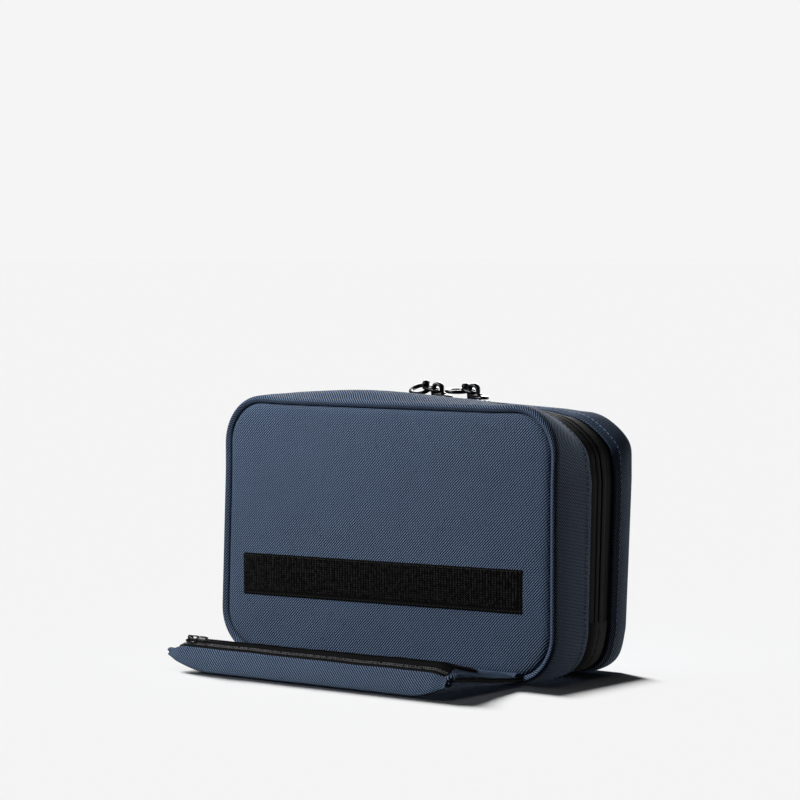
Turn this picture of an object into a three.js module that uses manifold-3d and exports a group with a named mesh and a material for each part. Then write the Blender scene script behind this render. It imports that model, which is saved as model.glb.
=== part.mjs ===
// Soft zip-round travel organizer that stands on its long edge, with a zipped pouch folded down in
// front of it. Millimetres, +Z up, +X along the long edge, -Y towards the pouch. The origin is the
// centre of the whole object's footprint.
import * as THREE from 'three';
import { mergeVertices } from 'three/addons/utils/BufferGeometryUtils.js';
import Module from 'manifold-3d';

const wasm = await Module();
wasm.setup();

// ---- Driving dimensions ----------------------------------------------------------------------
const CASE = { width: 250, height: 160, radius: 30 };
const FRONT_DEPTH = 36;                 // front gusset, seam to zipper
const ZIP_BAND = 22;                    // zipper tape that shows between the two gussets
const BACK_DEPTH = 18;                  // back gusset, zipper to seam
const GAP = 0.3;                        // clearance between pieces that touch
const POUCH = { width: 206, reach: 77, frontHeight: 15, ridgeHeight: 20, ridgeSetback: 10 };
const HINGE_HEIGHT = 6;                 // the pouch's seam above the resting surface
const HINGE_STANDOFF = 4;               // the pouch's seam in front of the front seam plane
const GUSSET_WALL = 2.2;
const PANEL = { thickness: 3, inset: 4 };
const FOAM_THICKNESS = 3;
const LINING_THICKNESS = 0.8;
const BINDING = { thickness: 1.2, width: 8 };
const TAPE = { thickness: 0.8, inset: 1.2 };
const COIL = { width: 1.9, height: 2.2, inset: 0.4 };
const HOOK_STRIP = { length: 210, width: 25, thickness: 1.8, bottom: 40, centre: -2 };
const CORNER_TOP = 34;                  // the back half parts from the bottom corners at this height
const ZIP_END_X = 78;                   // each zipper chain ends this far from the middle, underneath
const BACK_PIVOT_HEIGHT = 4;
const POCKET = { halfWidth: 110, wall: 0.8, gap: 5.8, bindingHeight: 6, bindingWall: 2.2 };
const SLIP_POCKET = { bottom: 9.5, top: 78 };
const MESH_POCKET = { bottom: 12, top: 104 };
const LOOPS = { count: 6, span: 22, flat: 8, height: 9, wall: 1.2, bottom: 96, top: 121 };
const SLIDER = { length: 14, width: 9, wing: 1.3, bridgeHalf: 5, bridgeWidth: 3, bridgeWall: 1.2 };
const SLIDER_X = { left: 7, right: 34 };
const PULL = { thickness: 2, eyeHalf: 4.2, eyeLength: 8.9, ringRadius: 7.5, ringHole: 4.9, length: 26 };
const PULL_TILT = 10.5 * Math.PI / 180; // each pull leans up over the slider beside it
const POUCH_SLIDER_SCALE = 0.7;         // the pouch has a narrower zipper
const PULL_RISE = 1.7;                  // cross bar above the slider's crown
const ARC_STEPS = 8;

// ---- Places worked out from them --------------------------------------------------------------
const CASE_DEPTH = FRONT_DEPTH + ZIP_BAND + BACK_DEPTH;
const FRONT_Y = (POUCH.reach - CASE_DEPTH - GAP - PANEL.thickness) / 2;   // front seam plane
const ZIP_Y0 = FRONT_Y + FRONT_DEPTH;
const ZIP_CENTRE_Y = ZIP_Y0 + ZIP_BAND / 2;
const ZIP_Y1 = ZIP_Y0 + ZIP_BAND;
const BACK_Y = FRONT_Y + CASE_DEPTH;                                      // back seam plane
const COIL_TOP = CASE.height - COIL.inset;
const CROWN_BOTTOM = COIL_TOP + 0.9;
const CROWN_TOP = CROWN_BOTTOM + SLIDER.wing;
const BRIDGE_RISE = 2 * PULL_RISE;
const PULL_AXIS_Z = CROWN_TOP + PULL_RISE;

// ---- Materials --------------------------------------------------------------------------------
const finish = (color, roughness, metalness = 0) => () =>
  new THREE.MeshStandardMaterial({ color, roughness, metalness });
const twill = finish(0x35435b, 0.85);
const foam = finish(0x2b2c2f, 0.95);
const liningCloth = finish(0x1d222c, 0.8);
const blackTape = finish(0x0c0c0d, 0.8);
const blackCoil = finish(0x101012, 0.45);
const hookTape = finish(0x0a0a0b, 0.9);
const meshCloth = finish(0x17181b, 0.85);
const metal = finish(0x2a2b2e, 0.3, 1);

const object = new THREE.Group();

function add(name, geometry, material) {
  const mesh = new THREE.Mesh(geometry, material());
  mesh.name = name;
  object.add(mesh);
  return mesh;
}

// ---- Shapes -----------------------------------------------------------------------------------
// A closed outline of the case seen from the front, moved inwards by `inset`.
function caseOutline(inset, bottom = inset) {
  const x = CASE.width / 2 - inset;
  const top = CASE.height - inset;
  const r = CASE.radius - inset;
  const shape = new THREE.Shape();
  shape.moveTo(-x + r, bottom);
  shape.lineTo(x - r, bottom);
  shape.absarc(x - r, bottom + r, r, -Math.PI / 2, 0);
  shape.absarc(x - r, top - r, r, 0, Math.PI / 2);
  shape.absarc(-x + r, top - r, r, Math.PI / 2, Math.PI);
  shape.absarc(-x + r, bottom + r, r, Math.PI, Math.PI * 1.5);
  shape.closePath();
  return shape;
}

// A quarter of a corner as points, centred on (cx, cz), from one angle to another.
function arcPoints(cx, cz, r, from, to) {
  return Array.from({ length: ARC_STEPS + 1 }, (_, i) => {
    const angle = from + ((to - from) * i) / ARC_STEPS;
    return new THREE.Vector2(cx + r * Math.cos(angle), cz + r * Math.sin(angle));
  });
}

// The line over the top of the case, from `bottom` up one side and down to `bottom` on the other.
function archLine(inset, bottom) {
  const x = CASE.width / 2 - inset;
  const r = CASE.radius - inset;
  const cx = CASE.width / 2 - CASE.radius;
  const cz = CASE.height - CASE.radius;
  return [
    new THREE.Vector2(x, bottom),
    ...arcPoints(cx, cz, r, 0, Math.PI / 2),
    ...arcPoints(-cx, cz, r, Math.PI / 2, Math.PI),
    new THREE.Vector2(-x, bottom),
  ];
}

// The line round one lower corner, from `top` down the right side and in to `endX` underneath.
function cornerLine(inset, top, endX) {
  const r = CASE.radius - inset;
  const cx = CASE.width / 2 - CASE.radius;
  return [
    new THREE.Vector2(endX, inset),
    ...arcPoints(cx, CASE.radius, r, -Math.PI / 2, 0),
    new THREE.Vector2(CASE.width / 2 - inset, top),
  ];
}

// The line of a tray: down one side, along the bottom and up the other, to `top`.
function trayLine(inset, top) {
  const right = cornerLine(inset, top, 0).slice(1);
  const left = right.map((p) => new THREE.Vector2(-p.x, p.y)).reverse();
  return [...left, ...right];
}

// A band between two matching lines.
function band(outer, inner) {
  return new THREE.Shape([...outer, ...inner.reverse()]);
}

// Extrudes an outline of X and Z from one Y to another.
function alongY(shape, y0, y1) {
  const geometry = new THREE.ExtrudeGeometry(shape, {
    depth: y1 - y0, bevelEnabled: false, curveSegments: ARC_STEPS,
  });
  return geometry.rotateX(Math.PI / 2).translate(0, y1, 0);
}

// Extrudes an outline of X and Y from one Z to another.
function alongZ(shape, z0, z1) {
  const geometry = new THREE.ExtrudeGeometry(shape, {
    depth: z1 - z0, bevelEnabled: false, curveSegments: ARC_STEPS,
  });
  return geometry.translate(0, 0, z0);
}

// Extrudes an outline of Y and Z from one X to another.
function alongX(points, x0, x1) {
  const shape = new THREE.Shape(points.map(([y, z]) => new THREE.Vector2(y, z)));
  const geometry = new THREE.ExtrudeGeometry(shape, { depth: x1 - x0, bevelEnabled: false });
  const turn = new THREE.Matrix4().set(0, 0, 1, 0, 1, 0, 0, 0, 0, 1, 0, 0, 0, 0, 0, 1);
  return geometry.applyMatrix4(turn).translate(x0, 0, 0);
}

function box(x0, x1, y0, y1, z0, z1) {
  return new THREE.BoxGeometry(x1 - x0, y1 - y0, z1 - z0)
    .translate((x0 + x1) / 2, (y0 + y1) / 2, (z0 + z1) / 2);
}

function ring(inset, wall) {
  const shape = caseOutline(inset);
  shape.holes.push(caseOutline(inset + wall));
  return shape;
}

// ---- Booleans ---------------------------------------------------------------------------------
function toSolid(geometry) {
  const bare = new THREE.BufferGeometry();
  bare.setAttribute('position', geometry.getAttribute('position').clone());
  if (geometry.index) bare.setIndex(geometry.index.clone());
  const merged = mergeVertices(bare, 1e-4);
  return new wasm.Manifold(new wasm.Mesh({
    numProp: 3,
    vertProperties: new Float32Array(merged.getAttribute('position').array),
    triVerts: new Uint32Array(merged.index.array),
  }));
}

function toGeometry(solid) {
  const mesh = solid.getMesh();
  const geometry = new THREE.BufferGeometry();
  geometry.setAttribute('position', new THREE.BufferAttribute(mesh.vertProperties, 3));
  geometry.setIndex(new THREE.BufferAttribute(mesh.triVerts, 1));
  return geometry;
}

function union(...geometries) {
  return toGeometry(geometries.map(toSolid).reduce((sum, solid) => sum.add(solid)));
}

// ---- Front half: the part that stands ---------------------------------------------------------
function addFrontHalf() {
  const inner = GUSSET_WALL + GAP;
  const foamY = FRONT_Y + GAP;
  const liningY = foamY + FOAM_THICKNESS + GAP;
  const bindingY = liningY + LINING_THICKNESS + GAP;
  const panelY = FRONT_Y - PANEL.thickness;
  const stripStart = HOOK_STRIP.centre - HOOK_STRIP.length / 2;

  add('front_panel', alongY(caseOutline(PANEL.inset), panelY, FRONT_Y), twill);
  add('hook_strip', box(stripStart, stripStart + HOOK_STRIP.length,
    panelY - GAP - HOOK_STRIP.thickness, panelY - GAP,
    HOOK_STRIP.bottom, HOOK_STRIP.bottom + HOOK_STRIP.width), hookTape);
  add('front_gusset', alongY(ring(0, GUSSET_WALL), FRONT_Y + GAP, ZIP_Y0), twill);
  add('front_foam', alongY(caseOutline(inner), foamY, foamY + FOAM_THICKNESS), foam);
  add('front_lining', alongY(caseOutline(inner), liningY, liningY + LINING_THICKNESS), liningCloth);
  add('front_binding', alongY(ring(inner, BINDING.thickness), bindingY, bindingY + BINDING.width),
    blackTape);

  const line = (inset) => archLine(inset, CORNER_TOP);
  const tape = () => band(line(TAPE.inset), line(TAPE.inset + TAPE.thickness));
  const coil = () => band(line(COIL.inset), line(COIL.inset + COIL.height));
  add('front_zip_tape', alongY(tape(), ZIP_Y0 + GAP, ZIP_CENTRE_Y - COIL.width - 2 * GAP), blackTape);
  add('front_coil', alongY(coil(), ZIP_CENTRE_Y - COIL.width - GAP, ZIP_CENTRE_Y - GAP / 2), blackCoil);

  const end = () => band(cornerLine(TAPE.inset, CORNER_TOP - GAP, ZIP_END_X),
    cornerLine(TAPE.inset + 2 * TAPE.thickness, CORNER_TOP - GAP, ZIP_END_X));
  add('zip_end_right', alongY(end(), ZIP_Y0 + GAP, ZIP_Y1 - GAP), blackTape);
  add('zip_end_left', alongY(end(), ZIP_Y0 + GAP, ZIP_Y1 - GAP).rotateZ(Math.PI)
    .translate(0, ZIP_Y0 + ZIP_Y1, 0), blackTape);

  const spineHalf = ZIP_END_X - GAP;
  add('spine_panel', box(-spineHalf, spineHalf, ZIP_Y0 + GAP, ZIP_Y1 - GAP, 0, GUSSET_WALL), twill);
  const tray = band(trayLine(0, CORNER_TOP - GAP), trayLine(GUSSET_WALL, CORNER_TOP - GAP));
  add('back_bottom_gusset', alongY(tray, ZIP_Y1, BACK_Y), twill);
}

// A pocket front with side returns, open at the top; `facing` is +1 where it stands in front of a
// lining at higher Y, and -1 where the lining is at lower Y.
function pocket(liningFace, facing, bottom, top) {
  const half = POCKET.halfWidth;
  const near = liningFace - facing * GAP;
  const far = near - facing * POCKET.gap;
  const front = far - facing * POCKET.wall;
  const points = [
    [-half, front], [half, front], [half, near], [half - POCKET.wall, near],
    [half - POCKET.wall, far], [-half + POCKET.wall, far], [-half + POCKET.wall, near], [-half, near],
  ].map(([x, y]) => new THREE.Vector2(x, y));
  return alongZ(new THREE.Shape(points), bottom, top);
}

function pocketBinding(liningFace, facing, top) {
  const middle = liningFace - facing * (GAP + POCKET.gap + POCKET.wall / 2);
  return box(-POCKET.halfWidth, POCKET.halfWidth, middle - POCKET.bindingWall / 2,
    middle + POCKET.bindingWall / 2, top + GAP, top + GAP + POCKET.bindingHeight);
}

// A row of elastic loops: flat where it is sewn down, arched between.
function loopBand(liningFace) {
  const pitch = LOOPS.span + LOOPS.flat;
  const start = -(LOOPS.count * pitch + LOOPS.flat) / 2;
  const base = liningFace + GAP;
  const inside = [new THREE.Vector2(start, base)];
  for (let i = 0; i < LOOPS.count; i += 1) {
    const x0 = start + LOOPS.flat + i * pitch;
    for (let k = 0; k <= 12; k += 1) {
      const turn = (Math.PI * k) / 12;
      inside.push(new THREE.Vector2(x0 + (LOOPS.span * (1 - Math.cos(turn))) / 2,
        base + LOOPS.height * Math.sin(turn)));
    }
  }
  inside.push(new THREE.Vector2(start + LOOPS.count * pitch + LOOPS.flat, base));
  const outside = inside.map((point, i) => {
    const before = inside[Math.max(i - 1, 0)];
    const after = inside[Math.min(i + 1, inside.length - 1)];
    const along = after.clone().sub(before).normalize();
    return new THREE.Vector2(point.x - along.y * LOOPS.wall, point.y + along.x * LOOPS.wall);
  });
  return alongZ(new THREE.Shape([...inside, ...outside.reverse()]), LOOPS.bottom, LOOPS.top);
}

function addFrontPockets() {
  const face = FRONT_Y + GAP + FOAM_THICKNESS + GAP + LINING_THICKNESS;
  add('slip_pocket', pocket(face, -1, SLIP_POCKET.bottom, SLIP_POCKET.top), liningCloth);
  add('slip_pocket_binding', pocketBinding(face, -1, SLIP_POCKET.top), blackTape);
  add('elastic_loops', loopBand(face), blackTape);
}

// ---- Back half: tips back about the seam under its panel --------------------------------------
function addBackHalf() {
  const inner = GUSSET_WALL + GAP;
  const bottom = BACK_PIVOT_HEIGHT + 2;
  const foamY = BACK_Y - GAP - FOAM_THICKNESS;
  const liningY = foamY - GAP - LINING_THICKNESS;
  const bindingY = liningY - GAP - BINDING.width;
  const line = (inset) => archLine(inset, CORNER_TOP);

  add('back_panel', alongY(caseOutline(PANEL.inset, BACK_PIVOT_HEIGHT + GAP), BACK_Y + GAP,
    BACK_Y + GAP + PANEL.thickness), twill);
  add('back_gusset', alongY(band(line(0), line(GUSSET_WALL)), ZIP_Y1, BACK_Y), twill);
  add('back_foam', alongY(caseOutline(inner, bottom), foamY, foamY + FOAM_THICKNESS), foam);
  add('back_lining', alongY(caseOutline(inner, bottom), liningY, liningY + LINING_THICKNESS),
    liningCloth);
  add('back_binding', alongY(band(line(inner), line(inner + BINDING.thickness)), bindingY,
    bindingY + BINDING.width), blackTape);
  add('back_zip_tape', alongY(band(line(TAPE.inset), line(TAPE.inset + TAPE.thickness)),
    ZIP_CENTRE_Y + COIL.width + 2 * GAP, ZIP_Y1 - GAP), blackTape);
  add('back_coil', alongY(band(line(COIL.inset), line(COIL.inset + COIL.height)),
    ZIP_CENTRE_Y + GAP / 2, ZIP_CENTRE_Y + COIL.width + GAP), blackCoil);
  add('mesh_pocket', pocket(liningY, 1, MESH_POCKET.bottom, MESH_POCKET.top), meshCloth);
  add('mesh_pocket_binding', pocketBinding(liningY, 1, MESH_POCKET.top), blackTape);
}

// ---- Sliders and pulls ------------------------------------------------------------------------
function sliderCrown() {
  const half = SLIDER.length / 2;
  const wide = SLIDER.width / 2;
  const narrow = wide * 0.62;
  const wing = new THREE.Shape();
  wing.moveTo(-half, -narrow);
  wing.lineTo(half * 0.35, -wide);
  wing.quadraticCurveTo(half, -wide, half, 0);
  wing.quadraticCurveTo(half, wide, half * 0.35, wide);
  wing.lineTo(-half, narrow);
  wing.closePath();
  return wing;
}

function bridge() {
  const half = SLIDER.bridgeHalf;
  const wall = SLIDER.bridgeWall;
  const rise = BRIDGE_RISE;
  const shape = new THREE.Shape();
  shape.moveTo(half, -0.4);
  shape.lineTo(half, rise * 0.45);
  shape.quadraticCurveTo(half, rise + wall, half * 0.3, rise + wall);
  shape.lineTo(-half * 0.3, rise + wall);
  shape.quadraticCurveTo(-half, rise + wall, -half, rise * 0.45);
  shape.lineTo(-half, -0.4);
  shape.lineTo(-half + wall, -0.4);
  shape.lineTo(-half + wall, rise * 0.45);
  shape.quadraticCurveTo(-half + wall, rise, -half * 0.3, rise);
  shape.lineTo(half * 0.3, rise);
  shape.quadraticCurveTo(half - wall, rise, half - wall, rise * 0.45);
  shape.lineTo(half - wall, -0.4);
  shape.closePath();
  return shape;
}

// The crown of a slider with its bridge, at the origin, bottom of the crown at z = 0.
function slider(flangeDepth) {
  const wide = SLIDER.width / 2;
  const half = SLIDER.length / 2;
  const flange = box(-half * 0.9, half * 0.3, -wide * 0.72, -wide * 0.72 + 0.8, -flangeDepth, 0.5);
  const width = SLIDER.bridgeWidth;
  return union(
    alongZ(sliderCrown(), 0, SLIDER.wing),
    flange,
    alongY(bridge(), -width / 2, width / 2).translate(0, 0, SLIDER.wing),
  );
}

// The eye of a flat pull that points along -X from its cross bar at the origin, with a short neck.
function pullEye() {
  const bar = 0.9;
  const eye = PULL.eyeHalf;
  const eyeEnd = -PULL.eyeLength;
  const outline = new THREE.Shape();
  outline.moveTo(bar, -eye);
  outline.lineTo(bar, eye);
  outline.lineTo(eyeEnd, eye);
  outline.lineTo(eyeEnd - 1.5, 1.6);
  outline.lineTo(eyeEnd - 2.6, 1.6);
  outline.lineTo(eyeEnd - 2.6, -1.6);
  outline.lineTo(eyeEnd - 1.5, -1.6);
  outline.lineTo(eyeEnd, -eye);
  outline.closePath();
  const hole = new THREE.Path();
  const inset = eye - 1.7;
  hole.moveTo(-bar, -inset);
  hole.lineTo(eyeEnd + 1, -inset);
  hole.lineTo(eyeEnd + 1, inset);
  hole.lineTo(-bar, inset);
  hole.closePath();
  outline.holes.push(hole);
  return alongZ(outline, -PULL.thickness / 2, PULL.thickness / 2);
}

// The case's pulls end in a ring, with a round knob where the ring meets the eye.
function ringPull() {
  const half = PULL.thickness / 2;
  const centre = PULL.ringRadius - PULL.length;
  const round = new THREE.Shape();
  round.absarc(centre, 0, PULL.ringRadius, 0, Math.PI * 2);
  const gap = new THREE.Path();
  gap.absarc(centre, 0, PULL.ringHole, 0, Math.PI * 2);
  round.holes.push(gap);
  const knob = new THREE.SphereGeometry(1.9, 12, 8).translate(-PULL.eyeLength - 0.6, 0, 1);
  return union(pullEye(), alongZ(round, -half, half), knob);
}

// The pouch's pull ends in a plain tongue.
function tonguePull() {
  const half = PULL.thickness / 2;
  const tongue = box(-PULL.length, -PULL.eyeLength - 1, -2.6, 2.6, -half, half);
  return union(pullEye(), tongue);
}

function addSliders() {
  for (const [side, x] of Object.entries(SLIDER_X)) {
    add(`slider_${side}`, slider(1.5), metal).position.set(x, ZIP_CENTRE_Y, CROWN_BOTTOM);
    const tag = add(`pull_${side}`, ringPull(), metal);
    tag.position.set(x, ZIP_CENTRE_Y, PULL_AXIS_Z);
    tag.rotation.y = PULL_TILT;
  }
}

// ---- Pouch: lies in front, hinged along the bottom seam ---------------------------------------
function addPouch() {
  const half = POUCH.width / 2;
  const wall = 1.2;
  const hingeY = FRONT_Y - HINGE_STANDOFF;
  const frontY = hingeY - POUCH.reach + HINGE_STANDOFF;
  const ridgeY = frontY + POUCH.ridgeSetback;
  const backY = hingeY - 2;
  const innerHalf = half - wall - GAP;
  const zipSlope = Math.atan2(POUCH.ridgeHeight - POUCH.frontHeight, POUCH.ridgeSetback);
  const topSlope = Math.atan2(POUCH.ridgeHeight - HINGE_HEIGHT, backY - ridgeY);

  // A point on the zipper's slope, `s` along it from the front edge and `n` above it.
  const onZip = (s, n) => [frontY + s * Math.cos(zipSlope) - n * Math.sin(zipSlope),
    POUCH.frontHeight + s * Math.sin(zipSlope) + n * Math.cos(zipSlope)];
  // A point on the top panel, `s` along it from the seam at the case and `n` above it.
  const onTop = (s, n) => [backY - s * Math.cos(topSlope) + n * Math.sin(topSlope),
    HINGE_HEIGHT + s * Math.sin(topSlope) + n * Math.cos(topSlope)];
  const strip = (at, s0, s1, n0, n1) => [at(s0, n0), at(s1, n0), at(s1, n1), at(s0, n1)];
  const zipWidth = Math.hypot(POUCH.ridgeSetback, POUCH.ridgeHeight - POUCH.frontHeight);
  const topLength = Math.hypot(backY - ridgeY, POUCH.ridgeHeight - HINGE_HEIGHT);
  const mirrored = (points) => points.slice().reverse();

  add('pouch_base', alongX([[frontY, 0], [backY, 0], [backY, wall], [frontY, wall]], -half, half),
    twill);
  add('pouch_front_band', alongX([[frontY, wall + GAP], [frontY + wall, wall + GAP],
    [frontY + wall, POUCH.frontHeight - wall], [frontY, POUCH.frontHeight - wall]], -half, half), twill);
  add('pouch_top', alongX(mirrored(strip(onTop, 0, topLength - 0.6, -wall, 0)), -half, half), twill);

  const endProfile = [
    [frontY + wall + GAP, wall + GAP], [backY - 0.5, wall + GAP],
    onTop(0.5, -wall - GAP), onTop(topLength - 2, -wall - GAP),
    onZip(wall + 1.5, -1.7),
  ];
  add('pouch_end_right', alongX(endProfile, half - wall, half), twill);
  add('pouch_end_left', alongX(endProfile, -half, -half + wall), twill);

  const middle = zipWidth / 2;
  const tape = 0.6;
  add('pouch_tape_front', alongX(strip(onZip, 0.4, middle - 1.9, -tape - 0.4, -0.4), -innerHalf,
    innerHalf), blackTape);
  add('pouch_tape_top', alongX(strip(onZip, middle + 1.9, zipWidth - 0.9, -tape - 0.4, -0.4),
    -innerHalf, innerHalf), blackTape);
  add('pouch_coil_front', alongX(strip(onZip, middle - 1.6, middle - 0.15, -1.2, 0.2), -innerHalf,
    innerHalf), blackCoil);
  add('pouch_coil_top', alongX(strip(onZip, middle + 0.15, middle + 1.6, -1.2, 0.2), -innerHalf,
    innerHalf), blackCoil);

  const loopStart = HOOK_STRIP.bottom - HINGE_HEIGHT;
  const loopHalf = half - 6;
  add('loop_strip', alongX(mirrored(strip(onTop, loopStart, loopStart + HOOK_STRIP.width, GAP,
    GAP + HOOK_STRIP.thickness)), -loopHalf, loopHalf), hookTape);
  add('pouch_hinge_tape', box(-half, half, FRONT_Y - PANEL.thickness - 0.9 - GAP,
    FRONT_Y - PANEL.thickness - GAP, HINGE_HEIGHT - 4, HINGE_HEIGHT - 1), blackTape);

  const [sliderY, sliderZ] = onZip(middle, 0.6);
  const turned = new THREE.Group();
  turned.position.set(-half + 14, sliderY, sliderZ);
  turned.rotation.x = zipSlope;
  turned.scale.setScalar(POUCH_SLIDER_SCALE);
  object.add(turned);
  const crown = new THREE.Mesh(slider(1), metal());
  crown.name = 'pouch_slider';
  turned.add(crown);
  const tag = new THREE.Mesh(tonguePull().rotateZ(Math.PI), metal());
  tag.name = 'pouch_pull';
  tag.position.z = SLIDER.wing + PULL_RISE;
  turned.add(tag);
}

addFrontHalf();
addFrontPockets();
addBackHalf();
addSliders();
addPouch();

export default object;
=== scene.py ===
"""A zip-around travel organizer with a zipped flap pouch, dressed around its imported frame."""
import sys

import logging
import math
from dataclasses import dataclass
from enum import Enum
from typing import Any, Callable, Iterable, Sequence

import bmesh
import bpy
import numpy as np
from mathutils import Matrix, Vector
from mathutils.bvhtree import BVHTree


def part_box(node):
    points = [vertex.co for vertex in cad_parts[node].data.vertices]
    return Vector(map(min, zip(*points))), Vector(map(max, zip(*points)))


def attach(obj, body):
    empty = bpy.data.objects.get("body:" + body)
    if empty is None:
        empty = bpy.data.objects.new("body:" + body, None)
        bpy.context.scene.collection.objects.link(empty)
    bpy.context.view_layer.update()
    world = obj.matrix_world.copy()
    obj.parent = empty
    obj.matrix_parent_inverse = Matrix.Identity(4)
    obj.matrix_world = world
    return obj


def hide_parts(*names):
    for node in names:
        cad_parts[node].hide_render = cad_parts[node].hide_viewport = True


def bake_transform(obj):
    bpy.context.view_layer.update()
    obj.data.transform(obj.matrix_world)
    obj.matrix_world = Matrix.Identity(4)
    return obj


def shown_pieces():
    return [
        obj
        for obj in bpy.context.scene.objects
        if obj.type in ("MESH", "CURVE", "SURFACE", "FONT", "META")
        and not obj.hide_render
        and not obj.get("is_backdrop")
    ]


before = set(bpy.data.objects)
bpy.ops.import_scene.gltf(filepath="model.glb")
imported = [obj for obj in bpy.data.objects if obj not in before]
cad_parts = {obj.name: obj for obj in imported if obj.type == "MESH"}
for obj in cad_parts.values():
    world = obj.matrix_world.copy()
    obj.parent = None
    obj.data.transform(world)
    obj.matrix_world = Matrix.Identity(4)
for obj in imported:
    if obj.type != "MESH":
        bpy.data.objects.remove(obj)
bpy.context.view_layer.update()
LOG = logging.getLogger("organizer")
MM = 0.001
WEAVE_MAP = "weave"
ACROSS = "across"
MIX_FACTOR, MIX_LOW, MIX_HIGH, MIX_RESULT = 0, 6, 7, 2
Array = np.ndarray
Colour = tuple[float, float, float]
Bend = tuple[str, Sequence[float], Sequence[float]]


# ---------------------------------------------------------------- numbers and curves


def shade(red: int, green: int, blue: int) -> Colour:
    """Turn a display colour, 0 to 255 a channel, into the linear one that shaders use."""

    def linear(channel: int) -> float:
        """Undo the display curve of one channel."""
        c = channel / 255
        return c / 12.92 if c <= 0.04045 else ((c + 0.055) / 1.055) ** 2.4

    return linear(red), linear(green), linear(blue)


def ease(t: Array) -> Array:
    """Rise smoothly from 0 to 1 as t goes from 0 to 1, and stay there outside."""
    t = np.clip(t, 0.0, 1.0)
    return t * t * (3 - 2 * t)


def low_corner(node: str) -> Vector:
    """Lowest corner of a frame node."""
    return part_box(node)[0]


def high_corner(node: str) -> Vector:
    """Highest corner of a frame node."""
    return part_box(node)[1]


def smooth_line(points: Sequence[Sequence[float]], steps: int, closed: bool = False) -> Array:
    """Round a polyline off with a Catmull-Rom curve through its points.

    Args:
        points: The corners that the curve goes through.
        steps: How many points each stretch between two corners gets.
        closed: Whether the last corner joins the first.

    Returns:
        The curve's points, without a repeat of the first one.
    """
    p = np.asarray(points, float)
    count = len(p)
    ends = (lambda i: i % count) if closed else (lambda i: min(max(i, 0), count - 1))
    curve = []
    for i in range(count if closed else count - 1):
        a, b, c, d = (p[ends(i + k)] for k in (-1, 0, 1, 2))
        for t in np.arange(steps) / steps:
            curve.append(0.5 * (2 * b + (c - a) * t + (2 * a - 5 * b + 4 * c - d) * t**2
                                + (3 * b - a - 3 * c + d) * t**3))
    if not closed:
        curve.append(p[-1])
    return np.array(curve)


def run_length(points: Array) -> Array:
    """Distance walked along a polyline at each of its points."""
    steps = np.linalg.norm(np.diff(points, axis=0), axis=1)
    return np.concatenate([[0.0], np.cumsum(steps)])


def ripple(points: Array, wavelength: float) -> Array:
    """A gentle, fixed unevenness between about -1 and 1 at each point.

    Args:
        points: Places in the frame, in metres, on the last axis.
        wavelength: Distance between one high spot and the next.

    Returns:
        One number for each point.
    """
    k = 2 * math.pi / wavelength
    x, y, z = points[..., 0], points[..., 1], points[..., 2]
    first = np.sin(k * (0.9 * x + 0.35 * z + 0.2 * y) + 1.3)
    second = np.sin(k * (0.31 * x - 0.83 * z + 0.5 * y) + 4.1)
    third = np.sin(k * (1.37 * x + 0.71 * z - 0.6 * y) + 2.2)
    return (first + second + 0.7 * third) / 2.7


@dataclass(frozen=True)
class Rail:
    """A path in an upright XZ plane that sections are swept along.

    Attributes:
        points: X and Z of each station.
        normals: X and Z of the direction that points out of the case there.
        lengths: Distance walked at each station, and once more at the close of a closed path.
        closed: Whether the path comes back to its start.
    """

    points: Array
    normals: Array
    lengths: Array
    closed: bool

    def sweep(self, section: Array) -> Array:
        """Carry a section along the path.

        Args:
            section: Rows of depth inside the path and Y.

        Returns:
            Points by station and by place in the section.
        """
        flat = self.points[:, None, :] - self.normals[:, None, :] * section[None, :, 0:1]
        y = np.broadcast_to(section[None, :, 1], flat.shape[:2])
        return np.stack([flat[..., 0], y, flat[..., 1]], axis=-1)


@dataclass(frozen=True)
class Outline:
    """A rounded rectangle standing on its lower edge, walked from the middle of that edge."""

    half_width: float
    height: float
    radius: float

    @property
    def length(self) -> float:
        """Length once round."""
        straight = 4 * (self.half_width - self.radius) + 2 * (self.height - 2 * self.radius)
        return straight + 2 * math.pi * self.radius

    def at(self, distance: float) -> tuple[float, float, float, float]:
        """Find a place on the outline.

        Args:
            distance: Distance walked from the middle of the lower edge towards +X.

        Returns:
            X and Z of the place, then X and Z of the outward direction.
        """
        r = self.radius
        across, up, corner = self.half_width - r, self.height - 2 * r, math.pi / 2 * r
        x = z = heading = 0.0
        left = distance % self.length
        for run, turns in ((across, 0), (corner, 1), (up, 0), (corner, 1), (2 * across, 0),
                           (corner, 1), (up, 0), (corner, 1), (across, 0)):
            step = min(left, run)
            if turns:
                turned = heading + step / r
                x += r * (math.sin(turned) - math.sin(heading))
                z += r * (math.cos(heading) - math.cos(turned))
                heading = turned
            else:
                x += step * math.cos(heading)
                z += step * math.sin(heading)
            left -= step
            if left <= 0:
                break
        return x, z, math.sin(heading), -math.cos(heading)

    def rail(self, count: int, start: float = 0.0, stop: float | None = None) -> Rail:
        """Make a path along all or part of the outline.

        Args:
            count: Number of stations.
            start: Distance at which the path starts.
            stop: Distance at which it stops, or None for the whole way round.

        Returns:
            The path.
        """
        closed = stop is None
        span = self.length if closed else stop - start
        walked = start + span * np.arange(count) / (count if closed else count - 1)
        found = np.array([self.at(s) for s in walked])
        lengths = np.append(walked, start + span) if closed else walked
        return Rail(found[:, :2], found[:, 2:], lengths, closed)

    def inside(self, x: Array, z: Array) -> Array:
        """Distance from each place to the outline, positive inside it."""
        middle = self.height / 2
        qx = np.abs(x) - (self.half_width - self.radius)
        qz = np.abs(z - middle) - (middle - self.radius)
        out = np.hypot(np.maximum(qx, 0), np.maximum(qz, 0)) + np.minimum(np.maximum(qx, qz), 0)
        return self.radius - out


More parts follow.
